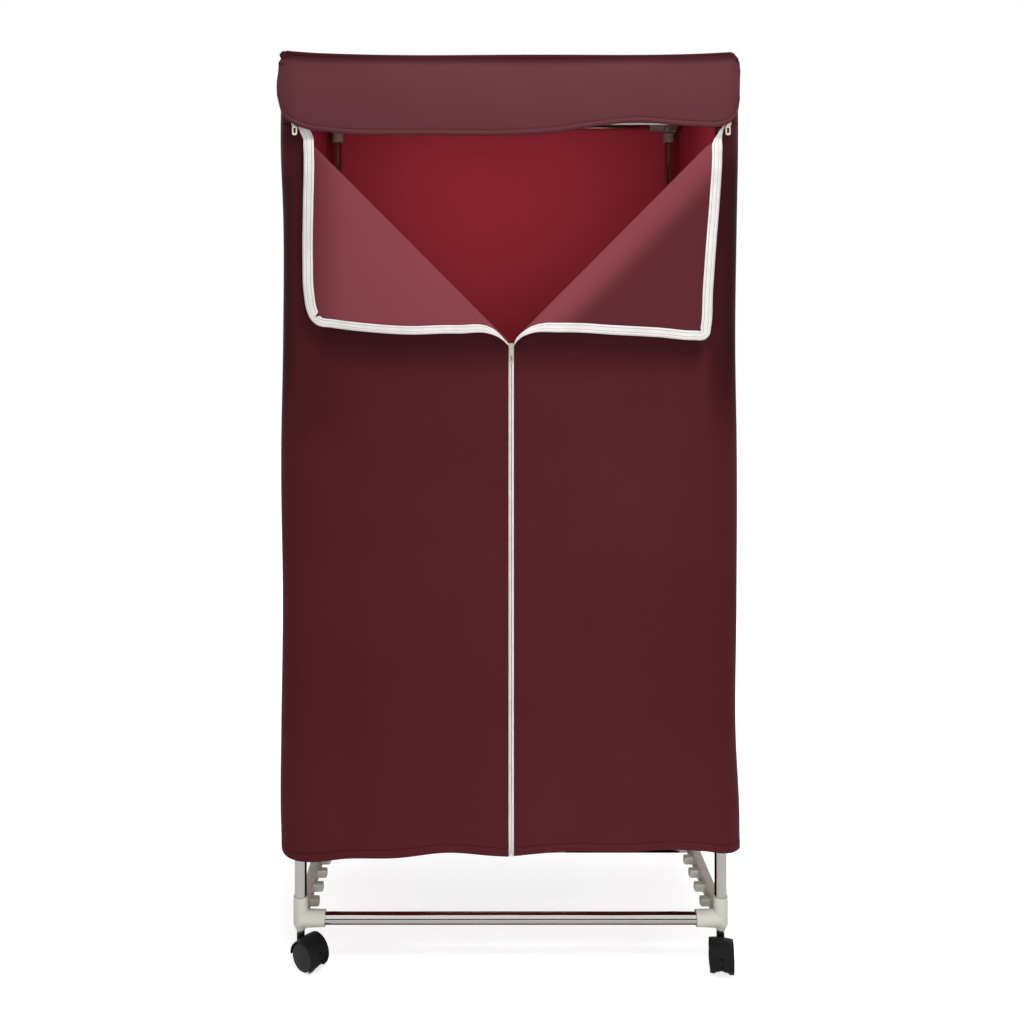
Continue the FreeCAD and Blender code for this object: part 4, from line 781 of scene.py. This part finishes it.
# header: the same corner line across the front, from the header zip up to the top seam, with a slight wander
def makeHeader():
    look = headerLook
    half = sideX - cornerWide
    turn = np.linspace(0, pi / 2, look["turns"] + 1)
    flat = np.linspace(-half, half, look["columns"])[1:-1]
    x = np.r_[-half - cornerWide * np.sin(turn[::-1]), flat, half + cornerWide * np.sin(turn)]
    y = frontY + seamDepth * (1 - np.cos(np.r_[turn[::-1], 0 * flat, turn]))
    run = runOf(stacked(x, y))
    z = headerZ + (panelTop - headerZ) * np.linspace(0, 1, look["rows"])[:, None] + 0 * x
    ends, rims = look["calm"]
    still = ease(run / ends) * stepDown(run, run[-1], ends) * stepUp(z, headerZ, rims) * stepDown(z, panelTop, rims)
    out = rumple(x, z, look["waves"], look["seed"]) * still
    grid = stacked(x + leanBoth(z, run, look["leanRun"]), y - out, z - wallFall(x, y, z))
    uv = stacked(run, z - headerZ)
    header = putSurface("headerSheet", [(grid, uv)], "frame", [outerCloth, liningAndPaintedBounce], clothThick)
    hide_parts("cover_header")


topLook = {
    "rows": 70, "columns": 100, "sag": 0.0018, "ripple": (0.8, 0.2, 0.0137), "seed": 71,
    "waves": ((0.27, 0.0004, 33), (0.17, 0.0003, 95), (0.09, 0.0002, 150)),
    "over": 0.0012, "round": 6.0, "cornerAt": (0.336, 0.2175),
}


# top: a rectangle whose rows narrow at the rounded corners, sagging between the tubes by two sine products, and lying
# over each corner moulding as a shallow paraboloid
def makeTop():
    look = topLook
    y = np.linspace(frontY, backY, look["rows"])[:, None]
    into = np.clip(corner - np.minimum(y - frontY, backY - y), 0, corner)
    half = sideX - corner + np.sqrt(np.maximum(corner**2 - into**2, 0))
    c = np.linspace(-1, 1, look["columns"])[None, :]
    x = half * c
    inX, inY = np.sin(pi * (c + 1) / 2), np.sin(pi * (y - frontY) / (backY - frontY))
    mean, swing, pitch = look["ripple"]
    sag = look["sag"] * np.sqrt(np.clip(inX * inY, 0, 1)) * (mean + swing * np.cos(y / pitch))
    z = pipingZ - seamDrop(x, y) - sag + rumple(x, y, look["waves"], look["seed"]) * inX * inY
    cx, cy = look["cornerAt"]
    bulge = look["round"] * ((np.abs(x) - cx) ** 2 + (np.abs(y) - cy) ** 2)
    z = np.maximum(z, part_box("top_corners")[1].z + look["over"] - bulge)
    grid = stacked(x, y, z)
    top = putSurface("topSheet", [(grid, grid[..., :2] + 1.0)], "frame", [outerCloth, liningAndPaintedBounce], clothThick)
    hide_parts("cover_top")


pipingLook = {
    "radius": 0.0044, "swell": 0.0005, "swells": 6, "ear": (0.0048, -0.0042), "sides": 14, "near": 0.05, "rise": 0.0018,
    "gather": 0.0004, "gatherRun": 0.0014, "turnRows": 16, "edgeRows": 80,
}
clearHem = 0.03  # start of the UV of narrow pieces, above the hem's stitches


# corded top seam: a circle carried round a rounded rectangle, base + corner * normal, its radius and height wandering
# a little, with gathers in the left corners
def makePiping():
    look = pipingLook
    turn, edge = np.linspace(0, pi / 2, look["turnRows"] + 1)[:-1], np.linspace(-1, 1, look["edgeRows"])[:-1]
    one, flat = 1 + 0 * turn, 1 + 0 * edge
    angle = np.concatenate([np.r_[a + turn, a + pi / 2 * flat] for a in (-pi / 2, 0, pi / 2, pi)])
    x = (sideX - corner) * np.r_[one, flat, one, -edge, -one, -flat, -one, edge] + corner * np.cos(angle)
    y = (backY - corner) * np.r_[-one, edge, one, flat, one, -edge, -one, -flat] + corner * np.sin(angle)
    x, y = np.append(x, x[0]), np.append(y, y[0])
    run = runOf(stacked(x, y))
    span, left = look["near"], x < 0
    near = np.clip((np.abs(x) - sideX + span) / span, 0, 1) * np.clip((np.abs(y) - backY + span) / span, 0, 1)
    radius = look["radius"] + look["swell"] * np.sin(tau * look["swells"] * run / run[-1])
    radius = radius + look["gather"] * near * np.sin(run / look["gatherRun"]) * left
    z = pipingZ - seamDrop(x, y) + look["rise"] * near * left
    path = stacked(x + np.where(left, -look["ear"][0], look["ear"][1]) * near**2, y, z)
    step = np.gradient(path, axis=0)
    step[0] = step[-1] = step[1]
    step /= np.linalg.norm(step, axis=1)[:, None]
    up = np.array([0, 0, 1.0])
    side = np.cross(step, up)
    ring = ringProfile(1.0, look["sides"])
    grid = side[:, None, :] * ring[None, :, :1] + up * ring[None, :, 1:]
    grid = path[:, None, :] + radius[:, None, None] * grid
    grid[-1] = grid[0]
    around = np.linspace(0, tau, look["sides"] + 1)
    uv = stacked(run[:, None], clearHem + around[None, :] * look["radius"])
    piping = putSurface("topPiping", [(grid, uv)], "frame", [pipingClothPaintedShade], wrap=True, flip=True)
    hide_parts("top_piping")


flapLook = {
    "columns": 150, "crowd": 0.92, "rows": 45, "half": (0.3655, 0.3603), "standOff": 0.003, "lean": 0.158,
    "curl": 0.47, "puff": 0.0045, "puffRun": 0.128, "calm": 0.03, "seed": 93, "roll": 0.0016, "sewn": (0.0008, 0.0009),
    "turnFrom": 0.335, "wrap": 0.013, "wrapShare": (1.0, 0.5), "tuck": 0.002, "tuckFrom": (0.5, 0.15),
    "pinchLeft": ((0.004, 0.006, 0.005), (-0.0033, 0.048, 0.024)), "pinchRight": (0.0035, 0.08, 0.002, 0.01),
    "gather": (0.0011, 0.0004), "gatherRun": 0.0017, "gatherAt": (0.012, 0.012),
    "paintedShade": 0.95, "paintedShadeAt": (0.003, 0.013),
    "waves": ((0.3, 0.0016, 8), (0.19, 0.001, 160), (0.11, 0.0005, 40)),
    "steps": (0.0, 0.0008, 0.0022, 0.0038, 0.0055, 0.0068, 0.0076, 0.0084, 0.0105, 0.014),
    "edge": ((-0.3655, -0.3638, -0.361, -0.3558, -0.3452, -0.332, -0.31, -0.29, -0.254, -0.186, -0.13, -0.017,
              0.06, 0.133, 0.206, 0.255, 0.296, 0.3118, 0.332, 0.348, 0.355, 0.359, 0.3603),
             (1.378, 1.3673, 1.3553, 1.3453, 1.3362, 1.3292, 1.3229, 1.3204, 1.317, 1.3158, 1.3155, 1.3152,
              1.3195, 1.3288, 1.335, 1.3308, 1.3283, 1.3272, 1.3312, 1.3408, 1.3505, 1.362, 1.372)),
}


# flap: columns across the front, each from the top seam to the drawn edge; it leans out by lean * d - curl * d squared,
# puffs by a half sine, and its ends bend back round the corners
def makeFlap():
    look = flapLook
    c = np.linspace(-1, 1, look["columns"]) * pi / 2 * look["crowd"]
    c = np.sin(c) / sin(pi / 2 * look["crowd"])
    left = c < 0
    half = np.where(left, *look["half"])
    x = c * half
    topZ = pipingZ - seamDrop(x, frontY)
    drop = topZ - through(*look["edge"], x)
    up = columnHeights(0 * x, drop, look["rows"], look["steps"])
    d = drop[None, :] - up
    z = topZ - d
    still = ease(d / look["calm"])
    over = np.clip((np.abs(x) - look["turnFrom"]) / (half - look["turnFrom"]), 0, 1)
    y = frontY - look["standOff"] - (look["lean"] * d - look["curl"] * d**2)
    y = y - look["puff"] * np.sin(pi * np.clip(d / look["puffRun"], 0, 1))
    wrap = look["wrap"] * over**2 * np.where(left, *look["wrapShare"])
    y = y + (wrap + look["tuck"] * stepUp(over, *look["tuckFrom"]) * (x > 0)) * still
    y = y - rumple(x, z, look["waves"], look["seed"]) * still
    rolled = np.sin(pi * np.clip(up / flapHem, 0, 1)) ** 0.6
    y = y - look["roll"] * rolled + look["sewn"][0] * bell(up, flapHem, look["sewn"][1])
    pinchLeft = sum(size * bell(d, at, wide) for size, at, wide in look["pinchLeft"])
    low, lowRun, high, highRun = look["pinchRight"]
    pinch = np.where(left, pinchLeft, low * ease(d / lowRun) + high * bell(d, 0, highRun))
    gather = np.where(left, *look["gather"]) * over * np.sin(d / look["gatherRun"]) * bell(d, *look["gatherAt"])
    grid = stacked(x - np.sign(x) * pinch * over, y - gather, z)
    uv = stacked(x + 0.4, up)
    flap = putSurface("frontFlap", [(grid, uv)], "front_flap", [flapClothPaintedSheen, liningAndPaintedBounce], clothThick)
    # painted shade: the flap darker near the top seam, where its rounded top is unlit
    markPoints(flap, "paintedShade", look["paintedShade"] * (1 - stepUp(d, *look["paintedShadeAt"])))
    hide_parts("front_flap")


makeWalls()
makeHeader()
makeTop()
makePiping()
makeFlap()
print("cover made")


# rounded lip of a zip half: half an ellipse about its middle, its height by a power of the sine
def lipProfile(middle, half, base, rise):
    a = np.linspace(0, pi, 9)
    return stacked(middle + half * np.cos(a), base + rise * np.sin(a) ** 0.7)


zipLook = {
    "rows": 60, "pitch": 0.0022, "half": 0.0026, "slit": 0.0004, "edge": 0.0006, "tape": 0.0165, "base": 0.0004,
    "rise": 0.0014, "thick": 0.0003, "wire": 0.00026, "coil": (0.0008, 0.00145), "coilTurn": (0.00008, 0.00012),
}


# centre zip: each half's cross section, flat tape and a rounded lip, carried up the middle; a fine coil lies on each
# lip, beside the slit
def makeCentreZip():
    look = zipLook
    half, slit = look["half"], look["slit"]
    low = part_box("centre_zip")[0].z
    z = np.linspace(low + 0.0005, zipZ + 0.001, look["rows"])
    path = stacked(0, tapeY, z)
    lip = lipProfile((half + slit) / 2, (half - slit) / 2, look["base"], look["rise"])
    profile = np.vstack([[(look["tape"], 0.0), (half + look["edge"], 0.0)], lip, [(slit, 0.0)]])
    right = carry(path, (1, 0, 0), (0, -1, 0), profile)
    left = [part[:, ::-1] for part in carry(path, (-1, 0, 0), (0, -1, 0), profile)]
    tape = putSurface("centreZipTape", [right, left], "frame", [chainTape], look["thick"], -1.0, flip=True)
    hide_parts("centre_zip")
    run = np.linspace(low + 0.001, zipZ, int((zipZ - low) / look["pitch"]) * 6)
    turn = tau * run / look["pitch"]
    (coilX, coilY), (turnX, turnY) = look["coil"], look["coilTurn"]
    rows = []
    for s in (-1, 1):
        coil = stacked(s * (coilX + turnX * np.sin(turn)), tapeY - coilY - turnY * np.cos(turn), run)
        rows.append(carry(coil, (1, 0, 0), (0, -1, 0), ringProfile(look["wire"], 4)))
    teeth = putSurface("centreZipCoil", rows, "frame", [coilDark], wrap=True, flip=True)


headerZipLook = {"columns": 120, "below": 0.0019, "lip": 0.0014, "base": 0.0003, "tape": 0.0165, "thick": 0.0003}


# header zip: one lip and its tape carried across the front just under the header's lower edge
def makeHeaderZip():
    look = headerZipLook
    low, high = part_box("header_zip")
    path = stacked(np.linspace(low.x, high.x, look["columns"]), tapeY, headerZ - look["below"])
    lip = lipProfile(0, -look["lip"], look["base"], look["lip"])
    strip = carry(path, (0, 0, 1), (0, -1, 0), np.vstack([lip, [(look["below"], 0.0), (look["tape"], 0.0)]]))
    tape = putSurface("headerZipTape", [strip], "frame", [chainTape], look["thick"], -1.0, flip=True)
    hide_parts("header_zip")


seamLook = {"radius": 0.0011, "sides": 8, "rows": 90, "low": 0.194, "out": 0.0003}


# corner welt: a small round carried up each front seam, where the side meets the door and the header
def makeSeams():
    look = seamLook
    z = np.linspace(look["low"], panelTop, look["rows"])
    y = 0 * z + frontY + seamDepth
    for side, s in sideSign.items():
        path = stacked(s * (sideX + leanAt(side, z) + look["out"]), y, z - wallFall(s * sideX, y, z))
        grid, uv = carry(path, (1, 0, 0), (0, 1, 0), ringProfile(look["radius"], look["sides"]))
        uv = uv[..., ::-1] + np.array([0, clearHem])
        welt = putSurface("cornerWelt_" + side, [(grid, uv)], "frame", [outerCloth], wrap=True)


makeCentreZip()
makeHeaderZip()
makeSeams()
print("zips and seams made")


stageLook = {
    "half": 7.0, "colour": (0.8, 0.8, 0.8, 1.0), "lift": (0.7, 0.88), "liftFrom": (0.7, 2.2), "glossLift": 0.12,
    "worldLight": 0.24,
}


# stage: a flat pale floor that glows for the camera, more with distance; the world is white to the camera and to metal,
# and lights the rest by a share
def makeStage():
    look = stageLook
    c = np.linspace(-look["half"], look["half"], 24)
    gx, gy = np.meshgrid(c, c)
    grid = stacked(gx, gy, 0)
    mat, tree, shader = newMaterial("paleFloor", Roughness=0.9, Specular_IOR_Level=0.1, Base_Color=look["colour"],
                                    Emission_Color=(1, 1, 1, 1))
    path = tree.nodes.new("ShaderNodeLightPath")
    place = tree.nodes.new("ShaderNodeTexCoord").outputs["Object"]
    away = addNode(tree, "ShaderNodeVectorMath", operation="LENGTH", Vector=place)
    (near, far), (low, high) = look["liftFrom"], look["lift"]
    grow = addNode(tree, "ShaderNodeMapRange", Value=away.outputs["Value"], From_Min=near, From_Max=far, To_Min=low,
                   To_Max=high)
    seen = mathNode(tree, "MULTIPLY", path.outputs["Is Camera Ray"], grow.outputs[0])
    mirrored = mathNode(tree, "MULTIPLY", path.outputs["Is Glossy Ray"], look["glossLift"])
    feed(tree, shader.inputs["Emission Strength"], mathNode(tree, "ADD", seen, mirrored))
    floor = putSurface("floorSheet", [(grid, grid[..., :2])], None, [mat])
    scene.world = bpy.data.worlds.new("studio")
    scene.world.use_nodes = True
    tree = scene.world.node_tree
    sky = tree.nodes["Background"]
    sky.inputs["Color"].default_value = (1, 1, 1, 1)
    path = tree.nodes.new("ShaderNodeLightPath")
    shown = mathNode(tree, "MAXIMUM", path.outputs["Is Camera Ray"], path.outputs["Is Glossy Ray"])
    shown = mathNode(tree, "MAXIMUM", shown, path.outputs["Is Transmission Ray"])
    strength = mathNode(tree, "MULTIPLY", shown, 1.0 - look["worldLight"])
    feed(tree, sky.inputs["Strength"], mathNode(tree, "ADD", strength, look["worldLight"]))


cardLook = {  # dark cards that only the metal sees: low left corner, across, up
    "faceCard": ((-1.4, -2.7, 0.0), (2.8, 0, 0), (0, 0, 0.75)),
    # underCard: painted reflection of shade, a dark sheet on the floor under the cover standing in for the shadow there
    "underCard": ((-0.325, -0.235, 0.002), (0.65, 0, 0), (0, 0.55, 0)),
}


# card: low corner + across * u + up * v
def makeCards():
    mat = newMaterial("darkCard", Roughness=1.0, Specular_IOR_Level=0.0, Base_Color=(0.01, 0.01, 0.01, 1))[0]
    u, v = np.meshgrid(np.linspace(0, 1, 3), np.linspace(0, 1, 3))
    for name, (low, across, up) in cardLook.items():
        grid = np.array(low) + u[..., None] * np.array(across) + v[..., None] * np.array(up)
        card = putSurface(name, [(grid, grid[..., :2])], None, [mat])
        card.visible_camera = card.visible_diffuse = card.visible_shadow = card.visible_transmission = False


lampLook = {  # place, aim, size across and up, spread in degrees, watts
    "frontStrip": ((0.1, -1.4, 0.66), (0.1, 0, 0.66), (0.4, 1.15), 100, 2.9),
    "topKey": ((0.2, -1.1, 2.55), (0, -0.2, 0.9), (0.9, 0.5), 180, 23.0),
    "footBox": ((0.0, -1.3, 0.16), (0, 0, 0.07), (1.2, 0.16), 50, 0.35),
    "leftBox": ((-2.4, 0.3, 1.1), (0, 0.1, 0.72), (1.4, 1.4), 180, 9.0),
    "rightBox": ((2.4, 0.3, 1.1), (0, 0.1, 0.72), (1.4, 1.4), 180, 9.0),
    "rearBox": ((0.6, 2.8, 2.2), (0, 0, 0.8), (2.0, 2.0), 180, 40.0),
    "insideBox": ((0.0, -0.16, 1.32), (0, 0.24, 1.27), (0.6, 0.3), 180, 1.5),
}


# area lamps: each at its place, turned so that its back axis points away from its aim
def makeLamps():
    for name, (place, aim, size, spread, watts) in lampLook.items():
        light = bpy.data.lights.new(name, "AREA")
        light.shape, light.energy = "RECTANGLE", watts
        light.size, light.size_y = size
        light.spread = radians(spread)
        lamp = bpy.data.objects.new(name, light)
        scene.collection.objects.link(lamp)
        lamp.location = place
        lamp.rotation_euler = (Vector(aim) - Vector(place)).to_track_quat("-Z", "Y").to_euler()
        lamp.visible_camera = lamp.visible_glossy = False


cameraLook = {"place": (-0.056, -1.823, 1.012), "sensor": 36.0, "lens": 35.3, "shift": (0.0355, -0.178)}


# camera: level, looking along y, with the picture moved by the lens shift
def makeCamera():
    look = cameraLook
    data = bpy.data.cameras.new("photoCamera")
    data.sensor_width, data.lens = look["sensor"], look["lens"]
    data.shift_x, data.shift_y = look["shift"]
    data.clip_start, data.clip_end = 0.02, 60.0
    camera = bpy.data.objects.new("photoCamera", data)
    scene.collection.objects.link(camera)
    camera.location = look["place"]
    camera.rotation_euler = (radians(90), 0, 0)
    scene.camera = camera


makeStage()
makeCards()
makeLamps()
makeCamera()
scene.view_settings.view_transform = "Standard"
print("stage, lamps and camera set")
